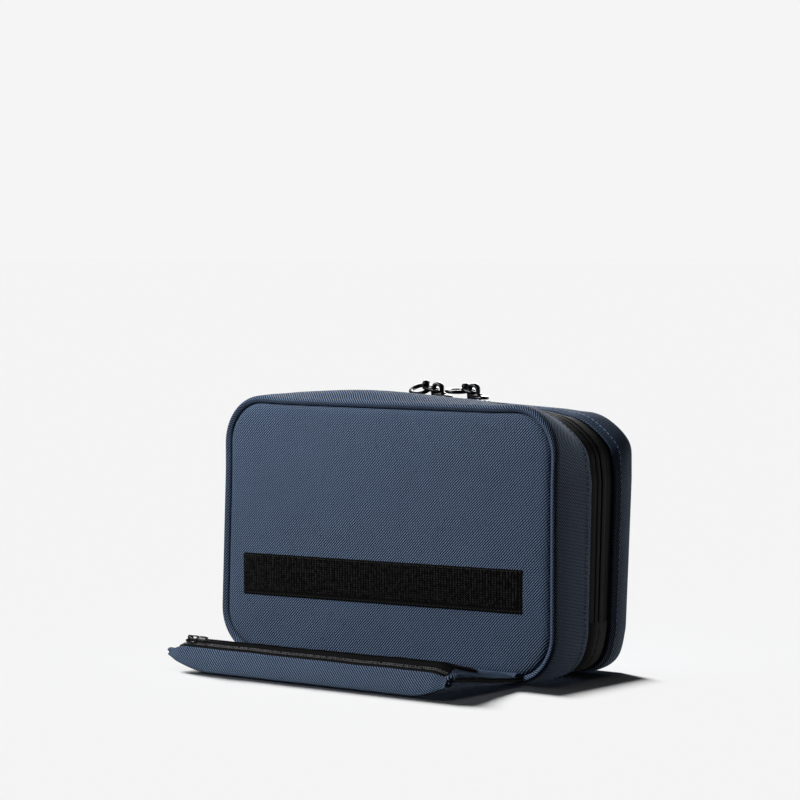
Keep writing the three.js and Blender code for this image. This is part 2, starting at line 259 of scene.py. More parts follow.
# ---------------------------------------------------------------- meshes


def new_object(name: str, mesh: bpy.types.Mesh) -> bpy.types.Object:
    """Put a mesh into the scene as an object at the origin."""
    piece = bpy.data.objects.new(name, mesh)
    bpy.context.scene.collection.objects.link(piece)
    return piece


def outward(mesh: bpy.types.Mesh, crease: float = 50.0) -> None:
    """Turn a closed mesh's faces outwards and shade it smooth between its sharp edges.

    Args:
        mesh: The mesh, changed in place.
        crease: Angle in degrees from which an edge stays sharp.
    """
    work = bmesh.new()
    work.from_mesh(mesh)
    bmesh.ops.recalc_face_normals(work, faces=work.faces)
    if work.calc_volume(signed=True) < 0:
        bmesh.ops.reverse_faces(work, faces=work.faces)
    work.to_mesh(mesh)
    work.free()
    mesh.shade_smooth()
    mesh.set_sharp_from_angle(angle=math.radians(crease))


def padded_map(u: Array, v: Array) -> Array:
    """Weave coordinates of a grid from the distances along its two directions."""
    return np.stack(np.meshgrid(u, v, indexing="ij"), axis=-1)


def skin(name: str, points: Array, weave: Array, rows_close: bool, columns_close: bool) -> bpy.types.Object:
    """Make a closed body from a grid of points.

    Args:
        name: Name of the piece.
        points: Places by row and column.
        weave: Weave coordinates in metres, with one more row or column where that way closes.
        rows_close: Whether the last row joins the first.
        columns_close: Whether the last column joins the first.

    Returns:
        The new piece. Open row ends are closed with a face.
    """
    rows, columns = points.shape[:2]
    faces, corners = [], []
    for i in range(rows if rows_close else rows - 1):
        for j in range(columns if columns_close else columns - 1):
            near, far = (i + 1) % rows, (j + 1) % columns
            faces.append((i * columns + j, near * columns + j, near * columns + far, i * columns + far))
            corners += [weave[i, j], weave[i + 1, j], weave[i + 1, j + 1], weave[i, j + 1]]
    if columns_close and not rows_close:
        for row in (0, rows - 1):
            faces.append(tuple(row * columns + j for j in range(columns)))
            corners += [weave[row, j] for j in range(columns)]
    mesh = bpy.data.meshes.new(name)
    mesh.from_pydata(points.reshape(-1, 3).tolist(), [], faces)
    layer = mesh.uv_layers.new(name=WEAVE_MAP)
    layer.data.foreach_set("uv", np.array(corners, np.float32).ravel())
    outward(mesh)
    return new_object(name, mesh)


def disc(name: str, rings: Array, weave: Array, underside: Array) -> bpy.types.Object:
    """Make a closed, cushion-like body from rings that shrink to a point.

    Args:
        name: Name of the piece.
        rings: Places by ring, outermost first, and by station.
        weave: Weave coordinates of the same places.
        underside: Rings of the hidden face, innermost last.

    Returns:
        The new piece.
    """
    stack = np.concatenate([underside[::-1], rings], axis=0)
    flat = np.concatenate([weave[: len(underside)][::-1], weave], axis=0)
    count, stations = stack.shape[:2]
    points = [*stack.reshape(-1, 3), stack[0].mean(0), stack[-1].mean(0)]
    maps = [*flat.reshape(-1, 2), flat[0].mean(0), flat[-1].mean(0)]
    first, last = count * stations, count * stations + 1
    faces = []
    for j in range(stations):
        far = (j + 1) % stations
        faces += [(i * stations + j, (i + 1) * stations + j, (i + 1) * stations + far, i * stations + far)
                  for i in range(count - 1)]
        faces.append((first, j, far))
        faces.append((last, (count - 1) * stations + far, (count - 1) * stations + j))
    mesh = bpy.data.meshes.new(name)
    mesh.from_pydata([tuple(p) for p in points], [], faces)
    layer = mesh.uv_layers.new(name=WEAVE_MAP)
    layer.data.foreach_set("uv", np.array([maps[v] for f in faces for v in f], np.float32).ravel())
    outward(mesh)
    return new_object(name, mesh)


def copy_of_node(node: str, name: str, edge: float, segments: int = 2) -> bpy.types.Object:
    """Copy a frame node, join its loose triangles and round its edges.

    Args:
        node: The frame node.
        name: Name of the new piece.
        edge: Width of the rounded edges.
        segments: Steps across a rounded edge.

    Returns:
        The new piece.
    """
    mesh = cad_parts[node].data.copy()
    mesh.materials.clear()
    work = bmesh.new()
    work.from_mesh(mesh)
    bmesh.ops.remove_doubles(work, verts=work.verts, dist=0.00002)
    bmesh.ops.dissolve_limit(work, angle_limit=math.radians(1.0), verts=work.verts, edges=work.edges)
    work.to_mesh(mesh)
    work.free()
    piece = new_object(name, mesh)
    bevel = piece.modifiers.new("edges", "BEVEL")
    bevel.width = edge
    bevel.segments = segments
    bevel.limit_method = "ANGLE"
    bevel.angle_limit = math.radians(28)
    bevel.harden_normals = False
    bake_modifiers(piece)
    piece.data.shade_smooth()
    piece.data.set_sharp_from_angle(angle=math.radians(40))
    return piece


def slice_up(piece: bpy.types.Object, step: float) -> None:
    """Cut a piece's faces along upright and level planes so that it can follow a bent shape.

    Args:
        piece: The piece, changed in place.
        step: Distance between the planes.
    """
    work = bmesh.new()
    work.from_mesh(piece.data)
    for axis in (0, 2):
        places = [v.co[axis] for v in work.verts]
        low, high = min(places), max(places)
        normal = [float(k == axis) for k in range(3)]
        for at in np.arange(low + step, high - 0.2 * step, step):
            everything = [*work.verts, *work.edges, *work.faces]
            centre = [float(at) * n for n in normal]
            bmesh.ops.bisect_plane(work, geom=everything, plane_co=centre, plane_no=normal)
    work.to_mesh(piece.data)
    work.free()


def bake_modifiers(piece: bpy.types.Object) -> None:
    """Apply a piece's modifiers to its mesh."""
    graph = bpy.context.evaluated_depsgraph_get()
    mesh = bpy.data.meshes.new_from_object(piece.evaluated_get(graph))
    piece.modifiers.clear()
    piece.data = mesh


def fit(piece: bpy.types.Object, finish: bpy.types.Material, slot: str, body: str,
        stands_for: Iterable[str] = (), bend: Bend | None = None) -> None:
    """Give a piece its material, hide the frame nodes that it stands for, and attach it to its body unless a
    bend is given; its slot is only logged.

    Args:
        piece: The piece, already in place.
        finish: Its material.
        slot: The record's material slot.
        body: The body that it rides on.
        stands_for: Frame nodes that it is shown in place of.
        bend: The second body and the two points between which the cloth would turn over a joint. When given,
            the piece stays fixed where it stands and is attached to no body; nothing bends it.
    """
    piece.data.materials.clear()
    piece.data.materials.append(finish)
    if stands_for:
        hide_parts(*stands_for)
    if bend is None:
        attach(piece, body)
    else:
        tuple(bend[1])
        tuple(bend[2])
        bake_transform(piece)
    LOG.info("%s: %d faces, %s, on %s", piece.name, len(piece.data.polygons), slot, body)


# ---------------------------------------------------------------- node trees


class Graph:
    """A node tree with one method that makes every kind of node."""

    def __init__(self, tree: bpy.types.NodeTree) -> None:
        """Wrap a node tree and empty it."""
        self.tree = tree
        tree.nodes.clear()

    def node(self, kind: str, settings: dict[str, Any] | None = None,
             inputs: dict[str | int, Any] | None = None) -> bpy.types.Node:
        """Make a node.

        Args:
            kind: The node's type.
            settings: Properties, set before anything is linked.
            inputs: Values or links by socket name or number.

        Returns:
            The new node.
        """
        made = self.tree.nodes.new(kind)
        for key, value in (settings or {}).items():
            setattr(made, key, value)
        for key, value in (inputs or {}).items():
            socket = made.inputs[key]
            if isinstance(value, Number):
                value = value.socket
            if isinstance(value, bpy.types.NodeSocket):
                self.tree.links.new(value, socket)
            else:
                socket.default_value = value
        return made


class Number:
    """A number that flows through a shader, so that maths on it reads as an expression."""

    def __init__(self, graph: Graph, socket: bpy.types.NodeSocket) -> None:
        """Wrap an output socket."""
        self.graph = graph
        self.socket = socket

    def maths(self, operation: str, *values: Any) -> "Number":
        """Add a Math node on this and other values."""
        given = dict(enumerate((self, *values)))
        made = self.graph.node("ShaderNodeMath", {"operation": operation}, given)
        return Number(self.graph, made.outputs[0])

    def _swapped(self, operation: str, value: float) -> "Number":
        """Add a Math node whose first value is a plain number."""
        made = self.graph.node("ShaderNodeMath", {"operation": operation}, {0: value, 1: self})
        return Number(self.graph, made.outputs[0])

    def __add__(self, other: Any) -> "Number":
        """Sum."""
        return self.maths("ADD", other)

    __radd__ = __add__

    def __sub__(self, other: Any) -> "Number":
        """Difference."""
        return self.maths("SUBTRACT", other)

    def __rsub__(self, other: float) -> "Number":
        """Difference from a plain number."""
        return self._swapped("SUBTRACT", other)

    def __mul__(self, other: Any) -> "Number":
        """Product."""
        return self.maths("MULTIPLY", other)

    __rmul__ = __mul__

    def __truediv__(self, other: Any) -> "Number":
        """Quotient."""
        return self.maths("DIVIDE", other)

    def __pow__(self, other: float) -> "Number":
        """Power."""
        return self.maths("POWER", other)

    def __abs__(self) -> "Number":
        """Size without the sign."""
        return self.maths("ABSOLUTE")

    def fraction(self) -> "Number":
        """What is left over a whole number."""
        return self.maths("FRACT")

    def whole(self) -> "Number":
        """The whole number below."""
        return self.maths("FLOOR")

    def off_centre(self) -> "Number":
        """0 in the middle of each unit step and 1 at its ends."""
        return abs(self.fraction() - 0.5) * 2

    def limited(self, low: float, high: float) -> "Number":
        """Kept between two values."""
        return self.maths("MAXIMUM", low).maths("MINIMUM", high)


class Grain(Enum):
    """The two directions that a pattern is laid along."""

    MAP = "map"
    FRONT = "xz"
    TOP = "xy"
    SIDE = "yz"


class Shader(Graph):
    """A material under construction."""

    def __init__(self, name: str) -> None:
        """Start an empty material."""
        self.material = bpy.data.materials.new(name)
        self.material.use_nodes = True
        super().__init__(self.material.node_tree)

    def place(self) -> bpy.types.NodeSocket:
        """The point's own coordinates in the object."""
        return self.node("ShaderNodeTexCoord").outputs["Object"]

    def directions(self, grain: Grain) -> tuple[Number, Number]:
        """Find the two distances in metres that a pattern is laid along.

        Args:
            grain: The two directions meant.

        Returns:
            The two distances.
        """
        if grain is Grain.MAP:
            source = self.node("ShaderNodeUVMap", {"uv_map": WEAVE_MAP}).outputs[0]
            axes = "xy"
        else:
            source = self.place()
            axes = grain.value
        parts = self.node("ShaderNodeSeparateXYZ", None, {0: source})
        first, second = (Number(self, parts.outputs["xyz".index(a)]) for a in axes)
        return first, second

    def noise(self, scale: float, detail: float = 2.0, stretch: Colour = (1.0, 1.0, 1.0)) -> Number:
        """Noise in the object's own coordinates, from 0 to 1."""
        stretched = self.node("ShaderNodeMapping", None, {"Vector": self.place(), "Scale": stretch})
        made = self.node("ShaderNodeTexNoise", None,
                         {"Vector": stretched.outputs[0], "Scale": scale, "Detail": detail})
        return Number(self, made.outputs[0])

    def blend(self, factor: Number, low: Colour, high: Colour) -> bpy.types.NodeSocket:
        """Mix two colours."""
        made = self.node("ShaderNodeMix", {"data_type": "RGBA"},
                         {MIX_FACTOR: factor, MIX_LOW: (*low, 1.0), MIX_HIGH: (*high, 1.0)})
        return made.outputs[MIX_RESULT]

    def bump(self, height: Number, depth: float, strength: float = 1.0) -> bpy.types.NodeSocket:
        """Turn a height into a normal."""
        made = self.node("ShaderNodeBump", None, {"Height": height, "Distance": depth, "Strength": strength})
        return made.outputs[0]

    def finish(self, **sockets: Any) -> bpy.types.Material:
        """Close the material with a surface shader.

        Args:
            sockets: Values or links of the shader, with _ for the spaces in their names.

        Returns:
            The material.
        """
        given = {key.replace("_", " "): value for key, value in sockets.items()}
        surface = self.node("ShaderNodeBsdfPrincipled", None, given)
        self.node("ShaderNodeOutputMaterial", None, {"Surface": surface.outputs[0]})
        return self.material


# ---------------------------------------------------------------- finishes


@dataclass(frozen=True)
class Twill:
    """Coarse navy polyester twill: slanting ribs of short yarn floats, darker in their valleys as painted
    shade and lighter on their crests as painted light.
    """

    name: str
    shaded_valley: Colour
    lit_crest: Colour
    pitch: float = 1.26 * MM
    float_length: float = 2.4 * MM
    relief: float = 0.34 * MM

    def build(self, grain: Grain = Grain.MAP) -> bpy.types.Material:
        """Make the material with its ribs laid along the given directions.

        Args:
            grain: The two directions that the cloth is laid along.

        Returns:
            The material.
        """
        shader = Shader(self.name)
        u, v = shader.directions(grain)
        wander = shader.noise(120.0, 2.0) * 0.7
        across = (u - v) / (math.sqrt(2) * self.pitch) + wander
        along = (u + v) / (math.sqrt(2) * self.float_length) + across.whole() * 0.37
        rib = 1 - across.off_centre() ** 2.0
        floats = 1 - along.off_centre() ** 6.0 * 0.35
        yarn = shader.noise(1300.0, 1.0)
        cloth = shader.noise(38.0, 3.0)
        missed = ((yarn - 0.62) * 5.0).limited(0.0, 0.6)
        height = rib * floats
        # Tone follows the ribs' height: painted shade in the valleys and painted light on the crests, plus
        # the yarn's own random specks and mottle.
        tone = ((height - 0.58) * 4.0 - missed + (cloth - 0.5) * 0.3).limited(0.0, 1.0)
        return shader.finish(
            Base_Color=shader.blend(tone, self.shaded_valley, self.lit_crest),
            Roughness=0.78 + cloth * 0.14,
            Normal=shader.bump(height - missed * 0.3, self.relief, 0.9), Specular_IOR_Level=0.04)


@dataclass(frozen=True)
class Tape:
    """Narrow woven tape: fine cross ribs with a faint herringbone."""

    name: str
    low: Colour
    high: Colour
    rib: float = 0.9 * MM
    rough: float = 0.7
    relief: float = 0.08 * MM

    def build(self, grain: Grain = Grain.MAP) -> bpy.types.Material:
        """Make the material with its ribs across the first direction.

        Args:
            grain: The two directions that the cloth is laid along.

        Returns:
            The material.
        """
        shader = Shader(self.name)
        u, v = shader.directions(grain)
        chevron = abs((v / (4 * self.rib)).fraction() - 0.5) * 1.2
        ribs = 1 - (u / self.rib + chevron).off_centre() ** 2.0
        picks = 1 - (v / (0.5 * self.rib)).off_centre() ** 2.0
        fibre = shader.noise(1900.0, 2.0)
        height = ribs * 0.7 + picks * 0.3
        # Tone partly follows the ribs' height, as painted shade between them and painted light on them; the
        # rest is the fibre's random tone.
        tone = (height * 0.55 + fibre * 0.5).limited(0.0, 1.0)
        return shader.finish(
            Base_Color=shader.blend(tone, self.low, self.high), Roughness=self.rough + fibre * 0.15,
            Normal=shader.bump(height, self.relief, 0.8), Specular_IOR_Level=0.03)


@dataclass(frozen=True)
class PlainWeave:
    """Light lining cloth: an even over-and-under weave."""

    name: str
    low: Colour
    high: Colour
    thread: float = 0.45 * MM

    def build(self, grain: Grain = Grain.MAP) -> bpy.types.Material:
        """Make the material with its threads along the given directions.

        Args:
            grain: The two directions that the cloth is laid along.

        Returns:
            The material.
        """
        shader = Shader(self.name)
        u, v = shader.directions(grain)
        warp, weft = u / self.thread, v / self.thread
        checker = (warp.whole() + weft.whole()).maths("MODULO", 2.0)
        over = (1 - warp.off_centre() ** 2.0) * checker + (1 - weft.off_centre() ** 2.0) * (1 - checker)
        creases = shader.noise(24.0, 3.0)
        # Tone follows the threads' height and the creases: painted shade where a thread dips under and in
        # crease hollows, painted light on the raised parts.
        tone = (over * 0.5 + creases * 0.5).limited(0.0, 1.0)
        return shader.finish(
            Base_Color=shader.blend(tone, self.low, self.high), Roughness=0.5 + creases * 0.2,
            Normal=shader.bump(over * 0.3 + creases * 3.0, 0.1 * MM, 0.8), Sheen_Weight=0.1)


@dataclass(frozen=True)
class Net:
    """Open mesh: rows of staggered round holes in a knitted net."""

    name: str
    colour: Colour
    hole: float = 1.7 * MM
    open_share: float = 0.62

    def build(self, grain: Grain = Grain.MAP) -> bpy.types.Material:
        """Make the material with its rows along the first direction.

        Args:
            grain: The two directions that the cloth is laid along.

        Returns:
            The material.
        """
        shader = Shader(self.name)
        u, v = shader.directions(grain)
        row = v / (0.87 * self.hole)
        column = u / self.hole + row.whole() * 0.5
        away = (column.off_centre() ** 2.0 + row.off_centre() ** 2.0) ** 0.5
        thread = (away - self.open_share).maths("GREATER_THAN", 0.0)
        fibre = shader.noise(1500.0, 2.0)
        return shader.finish(
            Base_Color=shader.blend(fibre, self.colour, tuple(2.2 * c for c in self.colour)),
            Roughness=0.6 + fibre * 0.2, Alpha=thread, Normal=shader.bump(away, 0.1 * MM, 0.7))


@dataclass(frozen=True)
class Plastic:
    """Drawn nylon, as in hooks, loops, coils and sewing thread."""

    name: str
    low: Colour
    high: Colour
    rough: float = 0.42
    gloss: float = 0.06
    scale: float = 900.0
    patchy: float = 1.0

    def build(self) -> bpy.types.Material:
        """Make the material."""
        shader = Shader(self.name)
        mottle = ((shader.noise(self.scale, 2.0) - 0.5) * self.patchy + 0.5).limited(0.0, 1.0)
        return shader.finish(
            Base_Color=shader.blend(mottle, self.low, self.high), Roughness=self.rough + mottle * 0.18,
            Normal=shader.bump(mottle, 0.03 * MM, 0.5), Specular_IOR_Level=self.gloss)


@dataclass(frozen=True)
class Gunmetal:
    """Dark plated zinc, worn a little paler where hands touch it."""

    name: str
    dark: Colour
    worn: Colour

    def build(self) -> bpy.types.Material:
        """Make the material."""
        shader = Shader(self.name)
        cast = shader.noise(420.0, 3.0)
        scuffs = (shader.noise(160.0, 4.0, (1.0, 4.0, 1.0)) - 0.46) * 5.0
        wear = scuffs.limited(0.0, 1.0)
        return shader.finish(
            Base_Color=shader.blend(wear, self.dark, self.worn), Metallic=0.92,
            Roughness=0.24 + cast * 0.14 + wear * 0.10,
            Normal=shader.bump(cast + wear * 0.5, 0.03 * MM, 0.35))


class Finishes:
    """Every material of the organizer, made once."""

    def __init__(self) -> None:
        """Build the materials."""
        # The twill's valley colour is painted shade and its crest colour is painted light on the ribs.
        shaded_valley, lit_crest = shade(0, 0, 2), shade(92, 109, 134)
        navy = Twill("navy_twill", shaded_valley, lit_crest)
        black = shade(2, 2, 2), shade(9, 9, 9)
        self.twill = navy.build()
        self.zip_tape = Tape("black_zip_tape", shade(5, 5, 5), shade(20, 20, 21)).build()
        self.ribbon = Tape("black_ribbon", shade(2, 2, 2), shade(14, 14, 14), rib=0.7 * MM).build()
        self.binding = Tape("black_binding", *black, rib=0.8 * MM).build(Grain.TOP)
        self.elastic = Tape("black_elastic", *black, rib=1.3 * MM, relief=0.25 * MM).build(Grain.FRONT)
        self.lining = PlainWeave("charcoal_lining", shade(38, 40, 45), shade(74, 77, 84)).build(Grain.FRONT)
        self.foam = PlainWeave("foam_knit", shade(40, 40, 42), shade(66, 66, 68), 0.7 * MM).build(Grain.FRONT)
        self.net = Net("black_net", shade(16, 16, 17)).build(Grain.FRONT)
        self.coil = Plastic("black_coil", shade(16, 16, 18), shade(48, 48, 52), 0.34).build()
        # The coil is smoke grey; its pale patches, up to a light grey, are painted highlights on its teeth.
        self.pouch_coil = Plastic("smoke_coil_painted_highlights", shade(30, 30, 32), shade(120, 120, 122),
                                  rough=0.25, gloss=0.5, scale=700.0, patchy=3.0).build()
        # The hooks are black; their pale grey patches are painted light, standing for hook tops that catch
        # the lamp.
        self.hooks = Plastic("black_hooks_painted_light", shade(0, 0, 0), shade(52, 52, 52),
                             rough=0.5, gloss=0.1, scale=420.0, patchy=5.0).build()
        self.loops = Plastic("black_loops", shade(10, 10, 11), shade(36, 36, 38), 0.6).build()
        dull = 0.55
        self.navy_thread = Plastic("navy_thread", shade(40, 52, 78), shade(66, 82, 116), dull).build()
        pale = shade(94, 116, 152), shade(138, 160, 190)
        self.pale_thread = Plastic("pale_blue_thread", *pale, dull).build()
        self.black_thread = Plastic("black_thread", shade(18, 18, 19), shade(52, 52, 54), dull).build()
        self.gunmetal = Gunmetal("gunmetal", shade(22, 22, 24), shade(64, 65, 68)).build()


# ---------------------------------------------------------------- things that repeat


class Motif(Enum):
    """What is repeated along a path."""

    STITCH = "stitch"
    TOOTH = "tooth"
    HOOK = "hook"
    LOOP = "loop"


@dataclass(frozen=True)
class Repeat:
    """A row of small equal things along a path, made with Geometry Nodes.

    Attributes:
        motif: What is repeated.
        pitch: Distance from one to the next.
        length: Size along the path.
        width: Size across the path, in the surface.
        height: Size above the surface.
    """

    motif: Motif
    pitch: float
    length: float
    width: float
    height: float

    def _bead(self, graph: Graph, given: bpy.types.Node) -> bpy.types.NodeSocket:
        """Make a small round bead, turned a little where it is a tooth.

        Args:
            graph: The tree that it is made in.
            given: The tree's inputs.

        Returns:
            The bead's geometry.
        """
        ball = graph.node("GeometryNodeMeshUVSphere", None, {"Segments": 8, "Rings": 5, "Radius": 0.5})
        size = graph.node("ShaderNodeCombineXYZ", None,
                          {0: given.outputs["Length"], 1: given.outputs["Width"],
                           2: given.outputs["Height"]})
        turn = (0.0, 0.0, math.radians(12) if self.motif is Motif.TOOTH else 0.0)
        shaped = graph.node("GeometryNodeTransform", None, {0: ball.outputs[0], "Scale": size.outputs[0]})
        turned = graph.node("GeometryNodeTransform", None, {0: shaped.outputs[0], "Rotation": turn})
        return turned.outputs[0]

    def _bow(self, graph: Graph, given: bpy.types.Node) -> bpy.types.NodeSocket:
        """Make a bowed wire whose far end hangs free on a hook and comes down on a loop.

        Args:
            graph: The tree that it is made in.
            given: The tree's inputs.

        Returns:
            The wire's geometry.
        """
        length, width, height = (given.outputs[k] for k in ("Length", "Width", "Height"))
        tip = graph.node("ShaderNodeCombineXYZ", None, {0: length, 1: width})
        crown = graph.node("ShaderNodeCombineXYZ", None, {0: length, 2: height})
        curl = 0.45 if self.motif is Motif.HOOK else 0.0
        scale, add = {"operation": "SCALE"}, {"operation": "ADD"}
        ends = graph.node("ShaderNodeVectorMath", scale, {0: crown.outputs[0], "Scale": curl})
        end = graph.node("ShaderNodeVectorMath", add, {0: tip.outputs[0], 1: ends.outputs[0]})
        over = graph.node("ShaderNodeVectorMath", scale, {0: crown.outputs[0], "Scale": 1.6})
        arch = graph.node("GeometryNodeCurveQuadraticBezier", None,
                          {"Resolution": 4, "Start": (0.0, 0.0, 0.0), "Middle": over.outputs[0],
                           "End": end.outputs[0]})
        gauge = {"Resolution": 3, "Radius": 0.2 * MM}
        round_ = graph.node("GeometryNodeCurvePrimitiveCircle", None, gauge)
        wire = graph.node("GeometryNodeCurveToMesh", None,
                          {0: arch.outputs[0], 1: round_.outputs[0], "Fill Caps": True})
        return wire.outputs[0]

    def _shape(self, graph: Graph, given: bpy.types.Node) -> bpy.types.NodeSocket:
        """Make the thing that is repeated, with X along the path, Y across it and Z up."""
        made = self._bead if self.motif in (Motif.STITCH, Motif.TOOTH) else self._bow
        return made(graph, given)

    def _tree(self) -> bpy.types.NodeTree:
        """Build the tree that repeats the motif along the paths it is given.

        Returns:
            The tree.
        """
        tree = bpy.data.node_groups.new(f"rows_of_{self.motif.value}", "GeometryNodeTree")
        face = tree.interface
        face.new_socket("Paths", in_out="INPUT", socket_type="NodeSocketGeometry")
        for name in ("Pitch", "Length", "Width", "Height"):
            face.new_socket(name, in_out="INPUT", socket_type="NodeSocketFloat")
        face.new_socket("Finish", in_out="INPUT", socket_type="NodeSocketMaterial")
        face.new_socket("Rows", in_out="OUTPUT", socket_type="NodeSocketGeometry")
        graph = Graph(tree)
        given = graph.node("NodeGroupInput")
        paths = graph.node("GeometryNodeMeshToCurve", None, {0: given.outputs["Paths"]})
        stops = graph.node("GeometryNodeResampleCurve", {"mode": "LENGTH"},
                           {"Curve": paths.outputs[0], "Length": given.outputs["Pitch"]})
        tangent = graph.node("GeometryNodeInputTangent")
        across = graph.node("GeometryNodeInputNamedAttribute", {"data_type": "FLOAT_VECTOR"},
                            {"Name": ACROSS})
        turn = graph.node("FunctionNodeAxesToRotation", {"primary_axis": "X", "secondary_axis": "Y"},
                          {0: tangent.outputs[0], 1: across.outputs[0]})
        rows = graph.node("GeometryNodeInstanceOnPoints", None,
                          {"Points": stops.outputs[0], "Instance": self._shape(graph, given),
                           "Rotation": turn.outputs[0]})
        real = graph.node("GeometryNodeRealizeInstances", None, {0: rows.outputs[0]})
        dressed = graph.node("GeometryNodeSetMaterial", None,
                             {"Geometry": real.outputs[0], "Material": given.outputs["Finish"]})
        graph.node("NodeGroupOutput", None, {"Rows": dressed.outputs[0]})
        return tree

    def along(self, name: str, paths: Sequence[tuple[Array, Array]],
              finish: bpy.types.Material) -> bpy.types.Object:
        """Repeat the motif along paths.

        Args:
            name: Name of the piece.
            paths: For each path its points, and at each point the direction across it.
            finish: The material.

        Returns:
            The piece, one plain mesh.
        """
        points, edges, sideways = [], [], []
        for line, across in paths:
            edges += [(len(points) + i, len(points) + i + 1) for i in range(len(line) - 1)]
            points += [tuple(p) for p in line]
            sideways += [tuple(a) for a in np.broadcast_to(across, line.shape)]
        mesh = bpy.data.meshes.new(name)
        mesh.from_pydata(points, edges, [])
        mesh.attributes.new(ACROSS, "FLOAT_VECTOR", "POINT").data.foreach_set("vector", np.ravel(sideways))
        piece = new_object(name, mesh)
        rows = piece.modifiers.new("rows", "NODES")
        rows.node_group = self._tree()
        values = {"Pitch": self.pitch, "Length": self.length, "Width": self.width,
                  "Height": self.height, "Finish": finish}
        for item in rows.node_group.interface.items_tree:
            if item.in_out == "INPUT" and item.name in values:
                rows[item.identifier] = values[item.name]
        bake_modifiers(piece)
        piece.data.shade_smooth()
        return piece


# ---------------------------------------------------------------- the case


@dataclass(frozen=True)
class Case:
    """The two padded halves, their gussets and the way the whole case has settled.

    Sizes are in metres. Y places of the seams come from the frame.
    """

    finishes: Finishes
    corner: float = 30 * MM
    seam_inset: float = 4.2 * MM
    roll: float = 3.0 * MM
    wall: float = 1.8 * MM
    bulge: float = 0.6 * MM
    lean: float = 9.0 * MM
    sag: float = 5.8 * MM
    swell: float = 4.6 * MM
    slump: float = 6.5 * MM
    tilt: float = 0.036
    crown: float = 2.6 * MM
    stations: int = 384
    draw_back: float = 2.6 * MM

    @property
    def outline(self) -> Outline:
        """The case seen from the front."""
        low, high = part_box("front_gusset")
        return Outline(high.x, high.z, self.corner)

    @property
    def front_seam(self) -> float:
        """Y of the seam round the front panel."""
        return high_corner("front_panel").y

    @property
    def front_edge(self) -> float:
        """Y of the front gusset's edge at the zipper."""
        return high_corner("front_gusset").y

    @property
    def back_edge(self) -> float:
        """Y of the back gusset's edge at the zipper, where the turned edge draws back from it."""
        return low_corner("back_gusset").y + self.draw_back

    @property
    def slit(self) -> float:
        """Y at which the zipper's two tapes meet."""
        return (self.front_edge + low_corner("back_gusset").y) / 2 + 0.3 * self.draw_back

    @property
    def back_seam(self) -> float:
        """Y of the seam round the back panel."""
        return low_corner("back_panel").y

    @property
    def bend(self) -> Bend:
        """Where the back half's cloth turns from lying still to opening with the back."""
        return "back_half", (0.0, self.back_seam, 8 * MM), (0.0, self.back_seam, 42 * MM)

    def settle(self, points: Array) -> Array:
        """Move points of the ideal case to where the real, soft one stands.

        Args:
            points: Places on the ideal case.

        Returns:
            The settled places.
        """
        x, y, z = points[..., 0], points[..., 1], points[..., 2]
        tall, half = self.outline.height, self.outline.half_width
        side = np.abs(x) / half
        moved = points.copy()
        hang = np.clip(1 - z / (0.875 * tall), 0, 1) ** 1.1 * ease(z / (25 * MM))
        moved[..., 1] -= self.lean * hang * np.clip(y / self.back_seam, 0, 1) ** 0.8
        top = ease((z / tall - 0.80) / 0.18)
        swell = np.exp(-((x / half + 0.2) / 0.5) ** 2)
        swell = swell * np.sin(math.pi * np.clip(y / self.front_edge, 0, 1))
        behind = ease((y - 46 * MM) / (20 * MM))
        sunk = (0.3 + 0.7 * np.clip(x / (0.72 * half), -0.25, 1)) * behind
        dip = 0.75 * ease((x / half - 0.32) / 0.4) * ease(y / self.front_edge) * (1 - behind)
        moved[..., 2] += top * (self.swell * swell - self.sag * (sunk + dip))
        corner = np.clip((side - 0.64) / 0.36, 0, 1) * np.clip((z / tall - 0.72) / 0.28, 0, 1)
        depths = (0.0, self.front_edge, self.back_edge, self.back_seam)
        falls = (-0.25 * self.slump, self.slump, 0.9 * self.slump, 0.3 * self.slump)
        slump = corner * np.interp(y, depths, falls)
        moved[..., 0] -= np.sign(x) * slump
        moved[..., 2] -= slump
        moved[..., 0] += self.tilt * (z - tall / 2) * np.clip(-x / half, 0, 1) ** 2
        return moved

    def gusset_section(self, seam: float, edge: float) -> Array:
        """Draw the section of a gusset from its rolled seam to its turned edge at the zipper.

        Args:
            seam: Y of the seam beside the panel.
            edge: Y of the turned edge.

        Returns:
            Rows of depth inside the outline and Y.
        """
        way = math.copysign(1.0, edge - seam)
        deep = abs(edge - seam)
        r, w = self.roll, self.wall
        marks = [(self.seam_inset + 0.2 * MM, 0.6 * MM), (self.seam_inset - 0.2 * MM, -0.45 * r),
                 (0.82 * r, -0.86 * r), (0.5 * r, -0.95 * r), (0.2 * r, -0.66 * r), (0.02 * r, -0.1 * r),
                 (-0.4 * self.bulge, 0.10 * deep), (-self.bulge, 0.36 * deep),
                 (-0.85 * self.bulge, 0.68 * deep), (0.0, deep - 2.2 * MM),
                 (0.35 * MM, deep - 0.5 * MM), (1.0 * MM, deep),
                 (1.9 * MM, deep - 0.5 * MM), (w + 0.3 * MM, deep - 2.0 * MM), (w, 0.6 * deep),
                 (w, 0.25 * deep), (w + 0.6 * MM, 1.8 * MM), (0.9 * self.seam_inset, 1.4 * MM)]
        return smooth_line([(inset, seam + way * y) for inset, y in marks], 4, closed=True)

    def band(self, name: str, rail: Rail, section: Array) -> bpy.types.Object:
        """Sweep a closed section along a path of the case.

        Args:
            name: Name of the piece.
            rail: The path.
            section: Rows of depth inside the outline and Y.

        Returns:
            The piece, with its weave laid along the path.
        """
        around = run_length(np.vstack([section, section[:1]]))
        points = rail.sweep(section)
        points = self.settle(points)
        return skin(name, points, padded_map(rail.lengths, around), rail.closed, True)

